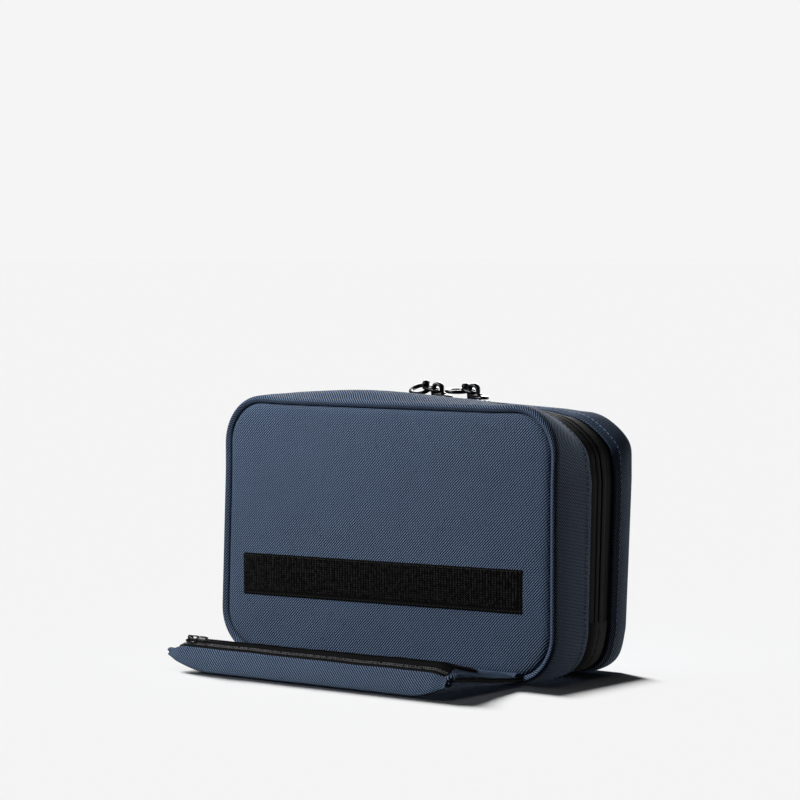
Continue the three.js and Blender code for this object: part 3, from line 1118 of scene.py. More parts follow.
    def cover_depth(self, x: Array, z: Array) -> Array:
        """How far a padded panel stands out of its seam groove at each place."""
        deep = np.maximum(self.outline.inside(x, z) - self.seam_inset, 0.0)
        edge = 2.9 * MM * (1 - np.exp(-deep / (1.3 * MM)))
        return edge + self.crown * (1 - np.exp(-deep / (24 * MM)))

    def cover(self, name: str, seam: float, way: float) -> bpy.types.Object:
        """Make a padded panel.

        Args:
            name: Name of the piece.
            seam: Y of its seam.
            way: -1 for a panel that faces -Y, 1 for one that faces +Y.

        Returns:
            The piece.
        """
        rail = self.outline.rail(self.stations)
        rim = rail.points - rail.normals * self.seam_inset
        middle = np.array([0.0, self.outline.height / 2])
        shares = np.concatenate([np.linspace(0, 0.12, 14), np.linspace(0.135, 0.985, 62)])
        flat = middle + (rim - middle)[None] * (1 - shares)[:, None, None]
        x, z = flat[..., 0], flat[..., 1]
        y = seam - way * 0.7 * MM + way * self.cover_depth(x, z)
        rings = np.stack([x, y, z], axis=-1)
        deep = self.outline.inside(x, z)
        rim_band = 8 * MM
        loose = ease((deep - rim_band) / (25 * MM))
        near_rim = np.exp(-(deep - rim_band) ** 2 / rim_band ** 2)
        rings[..., 1] += way * 0.35 * MM * ripple(rings, 85 * MM) * loose
        rings[..., 1] += way * 0.12 * MM * ripple(rings, 21 * MM) * near_rim
        under = flat[[0, 20, 60]]
        hidden = np.full(under.shape[:2], seam - way * 1.3 * MM)
        back = np.stack([under[..., 0], hidden, under[..., 1]], axis=-1)
        return disc(name, self.settle(rings), flat, self.settle(back))

    def build_covers(self) -> bpy.types.Object:
        """Make the front and back panels and return the front one."""
        front = self.cover("front_cover", self.front_seam, -1.0)
        fit(front, self.finishes.twill, "twill", "front_half", ["front_panel"])
        back = self.cover("back_cover", self.back_seam, 1.0)
        fit(back, self.finishes.twill, "twill", "back_half", ["back_panel"])
        return front

    def build_gussets(self) -> None:
        """Make the two gussets and the spine between the zipper's ends."""
        rail = self.outline.rail(self.stations)
        section = self.gusset_section(self.front_seam, self.front_edge)
        front = self.band("front_gusset_skin", rail, section)
        fit(front, self.finishes.twill, "twill", "front_half", ["front_gusset"])
        section = self.gusset_section(self.back_seam, self.back_edge)
        back = self.band("back_gusset_skin", rail, section)
        nodes = ["back_gusset", "back_bottom_gusset"]
        fit(back, self.finishes.twill, "twill", "front_half", nodes, self.bend)
        spine_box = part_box("spine_panel")
        reach = spine_box[1].x
        run = self.outline.rail(60, -reach, reach)
        lip = 1.2 * MM
        section = smooth_line([(0.9 * MM, spine_box[0].y - lip), (0.4 * MM, spine_box[0].y + 4 * MM),
                               (0.4 * MM, spine_box[1].y - 4 * MM), (0.9 * MM, spine_box[1].y + lip),
                               (2.3 * MM, spine_box[1].y + lip), (2.5 * MM, spine_box[0].y - lip)], 4, True)
        spine = self.band("spine_cover", run, section)
        fit(spine, self.finishes.twill, "twill", "front_half", ["spine_panel"])

    def build_stitches(self) -> None:
        """Sew the dashed lines beside the zipper on both gussets."""
        row = Repeat(Motif.STITCH, 3.4 * MM, 2.5 * MM, 0.55 * MM, 0.42 * MM)
        off = 5.0 * MM
        rows = (("front_gusset_stitches", self.front_edge - off, self.finishes.navy_thread, None),
                ("back_gusset_stitches", self.back_edge + off, self.finishes.pale_thread, self.bend))
        for name, y, thread, bend in rows:
            rail = self.outline.rail(self.stations)
            line = rail.sweep(np.array([(-self.bulge * 0.75 - 0.1 * MM, y)]))[:, 0]
            line = self.settle(np.vstack([line, line[:1]]))
            piece = row.along(name, [(line, np.array([0.0, 1.0, 0.0]))], thread)
            fit(piece, thread, "twill", "front_half", (), bend)


@dataclass(frozen=True)
class CaseZip:
    """The zipper round the case: two tapes edge to edge over a coil that faces inwards."""

    case: Case
    recess: float = 1.5 * MM
    thick: float = 0.8 * MM
    slit: float = 0.5 * MM
    coil_in: float = 3.0 * MM

    def tape_section(self, hidden: float, middle: float) -> Array:
        """Section of one tape from its sewn edge to the slit.

        Args:
            hidden: Y of the edge that is sewn under the gusset.
            middle: Y of the edge at the slit.

        Returns:
            Rows of depth inside the outline and Y.
        """
        way = math.copysign(1.0, middle - hidden)
        d, t = self.recess, self.thick
        marks = [(d + 0.5 * MM, hidden), (d + 0.35 * MM, hidden + way * 2.0 * MM),
                 (d, middle - way * 7.5 * MM),
                 (d - 0.05 * MM, middle - way * 4.2 * MM), (d - 0.25 * MM, middle - way * 3.4 * MM),
                 (d - 0.3 * MM, middle - way * 1.2 * MM), (d - 0.25 * MM, middle - way * 0.25 * MM),
                 (d + 0.3 * MM, middle), (d + t, middle - way * 0.4 * MM), (d + t, middle - way * 4.0 * MM),
                 (d + t + 0.4 * MM, hidden)]
        return smooth_line(marks, 3, closed=True)

    def build(self) -> None:
        """Make the tapes and the rows of teeth."""
        case, finishes = self.case, self.case.finishes
        middle = case.slit
        reach = high_corner("spine_panel").x
        length = case.outline.length
        rail = case.outline.rail(300, reach, length - reach)
        tuck = 1.6 * MM
        halves = (("front", case.front_edge - tuck, middle - self.slit, None),
                  ("back", case.back_edge + tuck, middle + self.slit, case.bend))
        teeth = Repeat(Motif.TOOTH, 1.15 * MM, 0.85 * MM, 2.3 * MM, 1.5 * MM)
        for half, hidden, edge, bend in halves:
            tape = case.band(f"{half}_tape", rail, self.tape_section(hidden, edge))
            fit(tape, finishes.zip_tape, "zip_tape", "front_half", [f"{half}_zip_tape"], bend)
            centre = np.array([(self.coil_in, edge + (edge - middle) * 0.9)])
            line = case.settle(rail.sweep(centre)[:, 0])
            coil = teeth.along(f"{half}_teeth", [(line, np.array([0.0, 1.0, 0.0]))], finishes.coil)
            fit(coil, finishes.coil, "coil", "front_half", [f"{half}_coil"], bend)


@dataclass(frozen=True)
class HookStrip:
    """The hook tape sewn across the front: a ribbon, its rows of hooks and its stitching."""

    finishes: Finishes
    cover: bpy.types.Object
    tilt: float = 0.0124
    thick: float = 0.7 * MM
    selvage: float = 1.9 * MM
    rib_pitch: float = 2.0 * MM
    hook_pitch: float = 1.3 * MM

    def surface(self) -> Callable[[float, float], float]:
        """Make a function that finds the front cover's Y at an X and Z.

        Returns:
            The function.
        """
        mesh = self.cover.data
        places = [v.co[:] for v in mesh.vertices]
        tree = BVHTree.FromPolygons(places, [p.vertices[:] for p in mesh.polygons])

        def at(x: float, z: float) -> float:
            """Find the cover's Y in front of a place."""
            hit = tree.ray_cast(Vector((x, -0.2, z)), Vector((0, 1, 0)))[0]
            return hit.y if hit else high_corner("front_panel").y

        return at

    def ribbon(self, lay: Callable[[float, float, float], tuple[float, float, float]]) -> None:
        """Make the woven ribbon with a raised selvage along both sides.

        Args:
            lay: A function that puts an X, a Z and a height on the tilted strip.
        """
        low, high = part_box("hook_strip")
        sunk, bed, side = 0.5 * MM, 0.6 * self.thick, 0.15 * MM
        inner = self.selvage + 0.4 * MM
        across = [(low.z, 0.05 * MM), (low.z + side, self.thick), (low.z + self.selvage, self.thick),
                  (low.z + inner, bed), (high.z - self.selvage - 0.4 * MM, bed),
                  (high.z - self.selvage, self.thick), (high.z - side, self.thick),
                  (high.z, 0.05 * MM), (high.z, -sunk), (low.z, -sunk)]
        section = smooth_line(across, 3, closed=True)
        xs = np.linspace(low.x, high.x, 100)
        points = np.array([[lay(x, z, out) for z, out in section] for x in xs])
        weave = padded_map(xs, run_length(np.vstack([section, section[:1]])))
        ribbon = skin("hook_ribbon", points, weave, False, True)
        fit(ribbon, self.finishes.ribbon, "hook_tape", "front_half", ["hook_strip"])

    def hooks(self, lay: Callable[[float, float, float], tuple[float, float, float]]) -> None:
        """Stand the rows of hooks on the ribbon's bed.

        Args:
            lay: A function that puts an X, a Z and a height on the tilted strip.
        """
        low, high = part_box("hook_strip")
        inner_low, inner_high = low.z + self.selvage + 0.5 * MM, high.z - self.selvage - 0.5 * MM
        zs = np.linspace(inner_low, inner_high, 8)
        ribs = [np.array([lay(x, z, 0.5 * self.thick) for z in zs])
                for x in np.arange(low.x + 1.2 * MM, high.x - 1.0 * MM, self.rib_pitch)]
        hooks = Repeat(Motif.HOOK, self.hook_pitch, 1.15 * MM, 1.2 * MM, 1.35 * MM)
        across = np.array([-1.0, 0.0, 0.0])
        piece = hooks.along("hooks", [(rib, across) for rib in ribs], self.finishes.hooks)
        fit(piece, self.finishes.hooks, "hook_tape", "front_half")

    def stitches(self, lay: Callable[[float, float, float], tuple[float, float, float]]) -> None:
        """Sew the strip down with one line of stitches all round.

        Args:
            lay: A function that puts an X, a Z and a height on the tilted strip.
        """
        low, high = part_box("hook_strip")
        edge = self.selvage * 0.55
        seam = Repeat(Motif.STITCH, 2.9 * MM, 2.1 * MM, 0.4 * MM, 0.35 * MM)
        corners = [(low.x + edge, low.z + edge), (high.x - edge, low.z + edge),
                   (high.x - edge, high.z - edge), (low.x + edge, high.z - edge)]
        level, upright = np.array([0.0, 0.0, 1.0]), np.array([1.0, 0.0, 0.0])
        above = self.thick + 0.05 * MM
        lines = []
        for (x0, z0), (x1, z1) in zip(corners, corners[1:] + corners[:1]):
            line = [lay(x0 + (x1 - x0) * t, z0 + (z1 - z0) * t, above) for t in np.linspace(0, 1, 60)]
            lines.append((np.array(line), level if z0 == z1 else upright))
        thread = seam.along("hook_strip_stitches", lines, self.finishes.black_thread)
        fit(thread, self.finishes.black_thread, "hook_tape", "front_half")

    def build(self) -> None:
        """Make the strip."""
        surface = self.surface()

        def lay(x: float, z: float, out: float) -> tuple[float, float, float]:
            """Put a place of the level strip on the tilted one, raised by out."""
            lifted = z + self.tilt * x
            return x, surface(x, lifted) - out, lifted

        self.ribbon(lay)
        self.hooks(lay)
        self.stitches(lay)


# ---------------------------------------------------------------- the pouch


@dataclass(frozen=True)
class PouchEnd:
    """How one end of the pouch closes.

    Attributes:
        front_mid: Height of the sewn end at its front corner.
        back_mid: Height of the sewn end at the hinge.
        tip_up: Share of the cloth above that height left at the very end.
        tip_down: Share of the cloth below that height left at the very end.
        run_up: Distance over which the upper cloth reaches its full height.
        run_down: Distance over which the lower cloth reaches the floor.
    """

    front_mid: float
    back_mid: float
    tip_up: float
    tip_down: float
    run_up: float
    run_down: float


@dataclass(frozen=True)
class Pouch:
    """The zipped flap pouch: a slim pillow whose flat ends are sewn shut and nipped at the corners."""

    finishes: Finishes
    stations: int = 160
    tape_thick: float = 0.6 * MM
    ridge_drop: float = 1.2 * MM
    left: PouchEnd = PouchEnd(10.2 * MM, 3.4 * MM, 0.30, 0.16, 12 * MM, 34 * MM)
    right: PouchEnd = PouchEnd(10.6 * MM, 4.2 * MM, 0.34, 0.42, 12 * MM, 24 * MM)

    @property
    def reach(self) -> tuple[float, float]:
        """Lowest and highest X."""
        return low_corner("pouch_end_left").x, high_corner("pouch_end_right").x

    @property
    def front(self) -> float:
        """Y of the front face."""
        return low_corner("pouch_front_band").y

    @property
    def hinge(self) -> float:
        """Y of the back edge."""
        return high_corner("pouch_top").y

    def marks(self) -> dict[str, tuple[float, float]]:
        """Name the corners of the pouch's full section.

        Returns:
            Y and Z of each corner, in order round the section.
        """
        front, back = self.front, self.hinge
        return {
            "hinge_top": (back, 6.3 * MM), "slope_back": (back - 22 * MM, 10.0 * MM),
            "slope_middle": (back - 42 * MM, 13.8 * MM), "slope_front": (front + 14.5 * MM, 17.6 * MM),
            "ridge": (front + 10.4 * MM, 18.3 * MM), "ridge_turn": (front + 9.4 * MM, 17.9 * MM),
            "tray_back": (front + 8.9 * MM, 17.0 * MM), "tray_front": (front + 1.7 * MM, 13.8 * MM),
            "lip_turn": (front + 1.0 * MM, 14.6 * MM), "lip": (front + 0.2 * MM, 14.4 * MM),
            "face_top": (front - 0.4 * MM, 12.6 * MM), "face_middle": (front - 1.8 * MM, 7.4 * MM),
            "face_low": (front - 2.5 * MM, 2.4 * MM), "toe": (front - 1.2 * MM, 0.5 * MM),
            "floor_front": (front + 6 * MM, 0.25 * MM), "floor_middle": (front + 34 * MM, 0.25 * MM),
            "floor_back": (back - 7 * MM, 0.5 * MM), "hinge_low": (back, 2.6 * MM)}

    def puff(self, points: Array) -> Array:
        """Close full-section points down towards the sewn ends and let the cloth wander.

        Args:
            points: Places on the pouch as if it had one section all along.

        Returns:
            The places on the real pouch.
        """
        low, high = self.reach
        x, y, z = points[..., 0], points[..., 1], points[..., 2]
        depth = ease((self.hinge - y) / (self.hinge - self.front))
        moved = points.copy()
        ridge = ease((y - self.front - 5 * MM) / (4 * MM)) * np.clip(z / (18 * MM), 0, 1) ** 2
        height = z - self.ridge_drop * ridge * (1 - ease((x - low) / (0.95 * (high - low))))
        for end, away in ((self.left, x - low), (self.right, high - x)):
            middle = end.back_mid + (end.front_mid - end.back_mid) * depth
            rising, falling = (np.sin(np.clip(away / run, 0, 1) * math.pi / 2)
                               for run in (end.run_up, end.run_down))
            up = end.tip_up + (1 - end.tip_up) * rising
            down = end.tip_down + (1 - end.tip_down) * falling
            height = middle + (height - middle) * np.where(height > middle, up, down)
            moved[..., 1] += (1 - ease(away / (9 * MM))) * 2.0 * MM * depth
        moved[..., 2] = height + 0.2 * MM * ripple(points, 46 * MM) * ease((z - 4 * MM) / (8 * MM))
        moved[..., 1] += 0.35 * MM * ripple(points, 70 * MM) * depth
        moved[..., 2] = np.maximum(moved[..., 2], 0.2 * MM)
        return moved

    def xs(self) -> Array:
        """Stations along the pouch, closer together towards its ends."""
        low, high = self.reach
        t = np.linspace(0, 1, self.stations)
        return low + (high - low) * (t - 0.55 * np.sin(2 * math.pi * t) / (2 * math.pi))

    def build_shell(self) -> None:
        """Make the cloth body."""
        section = smooth_line(list(self.marks().values()), 5, closed=True)
        xs = self.xs()
        grid = np.array([[(x, y, z) for y, z in section] for x in xs])
        weave = padded_map(xs, run_length(np.vstack([section, section[:1]])))
        shell = skin("pouch_shell", self.puff(grid), weave, False, True)
        fit(shell, self.finishes.twill, "twill", "pouch",
            ["pouch_base", "pouch_front_band", "pouch_top", "pouch_end_left", "pouch_end_right"])

    def tray(self, share: float, out: float) -> tuple[float, float]:
        """Find a place across the zipper's bed.

        Args:
            share: 0 at the bed's front and 1 at its back.
            out: Height above the bed.

        Returns:
            Y and Z of the place.
        """
        marks = self.marks()
        front, back = np.array(marks["tray_front"]), np.array(marks["tray_back"])
        along = back - front
        normal = np.array([-along[1], along[0]]) / np.linalg.norm(along)
        place = front + along * share + normal * out
        return float(place[0]), float(place[1])

    def build_zip(self) -> None:
        """Make the pouch's zipper: two tapes and two rows of teeth in the bed at its top edge."""
        low, high = self.reach
        xs = np.linspace(low + 5 * MM, high - 3.5 * MM, 120)
        rims = (("front", -0.06, 0.47, "pouch_tape_front"), ("top", 1.06, 0.53, "pouch_tape_top"))
        tooth = Repeat(Motif.TOOTH, 1.15 * MM, 0.75 * MM, 1.0 * MM, 1.0 * MM)
        for side, outer, inner, node in rims:
            t = self.tape_thick
            marks = [self.tray(outer, 0.15 * MM), self.tray((outer + inner) / 2, 0.1 * MM + t),
                     self.tray(inner, 0.1 * MM + t), self.tray(inner, 0.05 * MM),
                     self.tray((outer + inner) / 2, 0.02 * MM)]
            if side == "top":
                over = ((12.8, 18.5), (10.4, 18.85), (9.0, 18.2))
                under = ((9.7, 17.8), (10.5, 18.2), (12.8, 17.9))
                fold, tuck = ([(self.front + y * MM, z * MM) for y, z in row] for row in (over, under))
                marks = [*fold, self.tray(0.9, 0.1 * MM + t), *marks[1:], self.tray(0.95, 0.02 * MM), *tuck]
            section = smooth_line(marks, 3, closed=True)
            grid = np.array([[(x, y, z) for y, z in section] for x in xs])
            weave = padded_map(xs, run_length(np.vstack([section, section[:1]])))
            tape = skin(f"pouch_{side}_tape", self.puff(grid), weave, False, True)
            fit(tape, self.finishes.zip_tape, "zip_tape", "pouch", [node])
            place = self.tray(inner + (inner - 0.5) * 2.2, t + 0.15 * MM)
            line = self.puff(np.array([(x, *place) for x in xs]))
            across = np.array([0.0, *np.subtract(self.tray(1, 0), self.tray(0, 0))])
            teeth = tooth.along(f"pouch_{side}_teeth", [(line, across / np.linalg.norm(across))],
                                self.finishes.pouch_coil)
            fit(teeth, self.finishes.pouch_coil, "coil", "pouch", [f"pouch_coil_{side}"])

    def build_corners(self) -> None:
        """Make the nipped cloth tabs at the front corners and the sewn seam along each end."""
        low, high = self.reach
        tips = (("left_upper", low, -1, 10.6 * MM, 1.5 * MM, 5.6 * MM),
                ("left_lower", low, -1, 8.6 * MM, 1.3 * MM, 4.6 * MM),
                ("right_upper", high, 1, 11.2 * MM, 1.9 * MM, 3.4 * MM),
                ("right_lower", high, 1, 8.6 * MM, 1.9 * MM, 3.0 * MM))
        for name, x, way, z, half, reach in tips:
            loops = []
            for t in np.linspace(-0.7, 1, 12):
                size = half * math.sqrt(max(1 - max(t, 0) ** 2.6, 0.03))
                turn = np.linspace(0, 2 * math.pi, 20, endpoint=False)
                curl = 0.5 * MM * math.sin(2.2 * t)
                pinch = 1 + 0.25 * np.cos(3 * turn)
                loops.append(np.stack([np.full(20, x + way * (t * reach - 1.0 * MM)),
                                       self.front + 5.2 * MM + 3.6 * MM * np.cos(turn) * size / half,
                                       z + curl + size * np.sin(turn) * pinch], axis=-1))
            grid = np.array(loops)
            weave = padded_map(np.linspace(0, 1.7 * reach, 12), np.linspace(0, 8 * MM, 21))
            tab = skin(f"pouch_tip_{name}", grid, weave, False, True)
            fit(tab, self.finishes.twill, "twill", "pouch")
        for name, x, way, end in (("left", low, -1, self.left), ("right", high, 1, self.right)):
            ys = np.linspace(self.front + 5 * MM, self.hinge - 0.5 * MM, 50)
            depth = ease((self.hinge - ys) / (self.hinge - self.front))
            zs = end.back_mid + (end.front_mid - end.back_mid) * depth
            turn = np.linspace(0, 2 * math.pi, 16, endpoint=False)
            grid = np.array([np.stack([x + way * (0.8 * MM + 1.7 * MM * np.cos(turn)), np.full(16, y),
                                       z + 1.15 * MM * np.sin(turn)], axis=-1) for y, z in zip(ys, zs)])
            weave = padded_map(ys, np.linspace(0, 9 * MM, 17))
            seam = skin(f"pouch_seam_{name}", grid, weave, False, True)
            fit(seam, self.finishes.binding, "black_tape", "pouch")

    def build_hinge(self) -> None:
        """Make the cloth that joins the pouch to the foot of the front panel."""
        pivot_z = 6 * MM
        seam = high_corner("front_panel").y
        low, high = self.reach
        xs = np.linspace(low + 4 * MM, high - 1 * MM, 100)
        marks = [(self.hinge - 3.0 * MM, 6.2 * MM), (self.hinge, 7.2 * MM), (self.hinge + 2.4 * MM, 6.6 * MM),
                 (seam - 1.2 * MM, 6.4 * MM), (seam + 0.6 * MM, 6.8 * MM), (seam + 0.6 * MM, 5.2 * MM),
                 (seam - 1.4 * MM, 4.9 * MM), (self.hinge + 2.2 * MM, 5.0 * MM), (self.hinge, 4.8 * MM),
                 (self.hinge - 3.0 * MM, 4.6 * MM)]
        section = smooth_line(marks, 3, closed=True)
        grid = np.array([[(x, y, z) for y, z in section] for x in xs])
        grid[..., 2] += 0.25 * MM * ripple(grid, 30 * MM)
        weave = padded_map(xs, run_length(np.vstack([section, section[:1]])))
        web = skin("pouch_hinge_web", grid, weave, False, True)
        fit(web, self.finishes.twill, "twill", "front_half", ["pouch_hinge_tape"],
            ("pouch", (0.0, seam - 2.2 * MM, pivot_z), (0.0, self.hinge + 0.2 * MM, pivot_z)))

    def build_loops(self) -> None:
        """Make the loop tape on the pouch's top: a ribbon under a pile of fine loops."""
        low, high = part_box("loop_strip")
        marks = self.marks()
        slope = [marks[k] for k in ("hinge_top", "slope_back", "slope_middle", "slope_front", "ridge")]
        ys, zs = np.array(slope)[::-1].T

        def top(x: float, y: float, out: float) -> Array:
            """Find the place on the pouch's top at an X and Y, raised by out."""
            flat = np.array([x, y, float(np.interp(y, ys, zs))])
            return self.puff(flat[None])[0] + np.array([0.0, -0.25, 0.97]) * out

        edges = np.linspace(low.y, high.y, 9)
        ring = [(y, 0.75 * MM) for y in edges] + [(y, -0.3 * MM) for y in edges[::-1]]
        xs = np.linspace(low.x, high.x, 80)
        grid = np.array([[top(x, y, out) for y, out in ring] for x in xs])
        weave = padded_map(xs, np.linspace(0, 2 * (high.y - low.y), len(ring) + 1))
        ribbon = skin("loop_ribbon", grid, weave, False, True)
        fit(ribbon, self.finishes.ribbon, "loop_tape", "pouch", ["loop_strip"])
        rows = [np.array([top(x, y, 0.7 * MM) for x in xs])
                for y in np.arange(low.y + 1.4 * MM, high.y - MM, 1.3 * MM)]
        pile = Repeat(Motif.LOOP, 1.5 * MM, 0.9 * MM, 0.8 * MM, 1.1 * MM)
        across = np.array([0.0, 1.0, 0.0])
        loops = pile.along("loop_pile", [(row, across) for row in rows], self.finishes.loops)
        fit(loops, self.finishes.loops, "loop_tape", "pouch")


# ---------------------------------------------------------------- hardware and insides


@dataclass(frozen=True)
class RingPull:
    """Where the parts of a ring pull sit, as X and Z from its cross bar, in millimetres.

    Attributes:
        slider: The slider's node.
        pull: The pull's node.
        ring: Centre of the ring.
        lean: Angle in degrees by which the ring's near side hangs lower.
        knob: Centre of the round knob.
        eye_end: Far end of the eye.
    """

    slider: str
    pull: str
    ring: tuple[float, float]
    lean: float
    knob: tuple[float, float]
    eye_end: tuple[float, float]


@dataclass(frozen=True)
class Hardware:
    """Cast sliders with a tall arch, and pulls with an eye, a knob and a round ring."""

    finishes: Finishes
    pouch: Pouch
    pulls: tuple[RingPull, ...] = (
        RingPull("slider_left", "pull_left", (-15.9, 1.6), 24.0, (-11.8, 5.2), (-12.4, 3.0)),
        RingPull("slider_right", "pull_right", (-15.4, 1.3), 3.0, (-9.2, 4.2), (-9.8, 2.6)))
    round_steps: int = 14
    arch_shift: float = -3.0 * MM
    bar_rise: float = 3.0 * MM
    ring_radius: float = 5.9 * MM
    pouch_bar_rise: float = 3.02 * MM

    def tube(self, name: str, path: Array, out: Array, side: Array, thick: float, wide: float,
             closed: bool) -> bpy.types.Object:
        """Sweep an oval along a path.

        Args:
            name: Name of the piece.
            path: Places along it.
            out: Direction of the oval's first half size at each place.
            side: Direction of its second half size at each place.
            thick: First half size.
            wide: Second half size.
            closed: Whether the path comes back to its start.

        Returns:
            The new piece, with rounded ends when the path is open.
        """
        count = len(path)
        turn = np.linspace(0, 2 * math.pi, self.round_steps, endpoint=False)
        place = np.linspace(-1, 1, count)
        swell = np.ones(count) if closed else (1 - 0.97 * np.abs(place) ** 16) ** 0.5
        oval = np.cos(turn)[None, :, None] * out[:, None, :] * thick + \
            np.sin(turn)[None, :, None] * side[:, None, :] * wide
        grid = path[:, None, :] + oval * swell[:, None, None]
        around = np.linspace(0, 4 * MM, self.round_steps + 1)
        weave = padded_map(np.linspace(0, 20 * MM, count + closed), around)
        return skin(name, grid, weave, closed, True)

    def hoop(self, name: str, centre: Array, half_long: float, half_wide: float, lean: float, rise: float,
             thick: float, wide: float) -> bpy.types.Object:
        """Make a closed hoop of oval bar.

        Args:
            name: Name of the piece.
            centre: Its middle.
            half_long: Half its size along X, to the middle of the bar.
            half_wide: Half its size across.
            lean: Angle in degrees by which it is rolled about X.
            rise: Angle in degrees by which its -X end is lifted.
            thick: Half the bar's size at right angles to the hoop.
            wide: Half the bar's size in the hoop's plane.

        Returns:
            The new piece.
        """
        roll, lift = math.radians(lean), math.radians(rise)
        turn = np.linspace(0, 2 * math.pi, 48, endpoint=False)
        square = 2.0 if half_long == half_wide else 3.2
        cos, sin = np.cos(turn), np.sin(turn)
        x = half_long * np.sign(cos) * np.abs(cos) ** (2 / square)
        y = half_wide * np.sign(sin) * np.abs(sin) ** (2 / square)
        along = np.array([math.cos(lift), 0.0, -math.sin(lift)])
        over = np.array([0.0, math.cos(roll), math.sin(roll)])
        upward = np.cross(along, over)
        path = centre + x[:, None] * along + y[:, None] * over
        inward = -(x[:, None] * along / half_long + y[:, None] * over / half_wide)
        inward /= np.linalg.norm(inward, axis=1)[:, None]
        return self.tube(name, path, inward, np.tile(upward, (48, 1)), wide, thick, True)

    def ball(self, name: str, centre: Array, radius: float, flat: float = 1.0) -> bpy.types.Object:
        """Make a round knob.

        Args:
            name: Name of the piece.
            centre: Its middle.
            radius: Its radius.
            flat: Share of its size along Y.

        Returns:
            The new piece.
        """
        mesh = bpy.data.meshes.new(name)
        work = bmesh.new()
        bmesh.ops.create_uvsphere(work, u_segments=20, v_segments=12, radius=radius)
        for vert in work.verts:
            vert.co = Vector((vert.co.x, vert.co.y * flat, vert.co.z)) + Vector(centre)
        work.to_mesh(mesh)
        work.free()
        mesh.shade_smooth()
        return new_object(name, mesh)

    def crown(self, name: str, centre: Array, length: float, width: float, height: float) -> bpy.types.Object:
        """Make a slider's domed top plate, narrower at its tail than at its nose.

        Args:
            name: Name of the piece.
            centre: Middle of its underside.
            length: Size along X.
            width: Size along Y at the nose.
            height: Height of the dome.

        Returns:
            The new piece.
        """
        turn = np.linspace(0, 2 * math.pi, 40, endpoint=False)
        x = length / 2 * np.sign(np.cos(turn)) * np.abs(np.cos(turn)) ** 0.7
        y = width / 2 * np.sign(np.sin(turn)) * np.abs(np.sin(turn)) ** 0.8 * (0.83 + 0.17 * x / (length / 2))
        dome = ((0.94, -0.1), (1.0, 0.12), (1.0, 0.42), (0.96, 0.62), (0.86, 0.78), (0.6, 0.93), (0.3, 1.0))
        rings = [np.stack([x * share, y * share, np.full(40, z * height)], axis=-1) + centre
                 for share, z in dome]
        under = [np.stack([x * share, y * share, np.full(40, -0.1 * height)], axis=-1) + centre
                 for share in (0.8, 0.4)]
        weave = np.array(rings)[..., :2]
        return disc(name, np.array(rings), weave, np.array(under))

    def arch(self, name: str, centre: Array, half: float, height: float, thick: float,
             wide: float) -> bpy.types.Object:
        """Make the arch that holds a pull's cross bar.

        Args:
            name: Name of the piece.
            centre: Middle of its foot.
            half: Half the span between the middles of its posts.
            height: Height of the middle of its bar.
            thick: Half the bar's thickness.
            wide: Half its width.

        Returns:
            The new piece.
        """
        turn = np.linspace(-0.12 * math.pi, 1.12 * math.pi, 40)
        x = half * np.cos(turn)
        z = height - half + half * np.sin(turn)
        z = np.where(np.sin(turn) < 0, (height - half) * (1 + np.sin(turn) / math.sin(0.12 * math.pi)), z)
        x = np.where(np.sin(turn) < 0, half * np.sign(x) * (1 - 0.3 * np.sin(turn)), x)
        path = centre + np.stack([x, np.zeros(40), z], axis=-1)
        run = np.gradient(path, axis=0)
        out = np.stack([run[:, 2], np.zeros(40), -run[:, 0]], axis=-1)
        out /= np.linalg.norm(out, axis=1)[:, None]
        return self.tube(name, path, out, np.tile([0.0, 1.0, 0.0], (40, 1)), thick, wide, False)

    def cast(self, name: str, node: str, shells: Sequence[bpy.types.Object],
             place: Matrix | None = None) -> None:
        """Join shells into one cast piece that stands for a frame node.

        Args:
            name: Name of the piece.
            node: The node, which is also its body.
            shells: The shells, removed once joined.
            place: Where to put the joined shells, when they were made at the origin.
        """
        mesh = bpy.data.meshes.new(name)
        work = bmesh.new()
        for shell in shells:
            work.from_mesh(shell.data)
            bpy.data.objects.remove(shell)
        work.transform(place or Matrix())
        work.to_mesh(mesh)
        work.free()
        piece = new_object(name, mesh)
        mesh.shade_smooth()
        fit(piece, self.finishes.gunmetal, "gunmetal", node, [node])

    def case_slider(self, part: RingPull) -> Array:
        """Cast one slider of the case's zipper.

        Args:
            part: The slider and its pull.

        Returns:
            The middle of the slider's crown.
        """
        low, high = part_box(part.slider)
        middle = np.array([(low.x + high.x) / 2, (low.y + high.y) / 2, low.z + 1.5 * MM])
        foot = middle + np.array([-2.4 * MM, 0, 0.4 * MM])
        arch = middle + np.array([self.arch_shift, 0, 0.6 * MM])
        self.cast(f"{part.slider}_cast", part.slider, [
            self.crown("crown", middle, 14.6 * MM, 8.8 * MM, 2.2 * MM),
            self.crown("foot", foot, 10.6 * MM, 5.6 * MM, 3.4 * MM),
            self.arch("arch", arch, 3.3 * MM, 7.6 * MM, 1.25 * MM, 1.9 * MM)])
        return middle

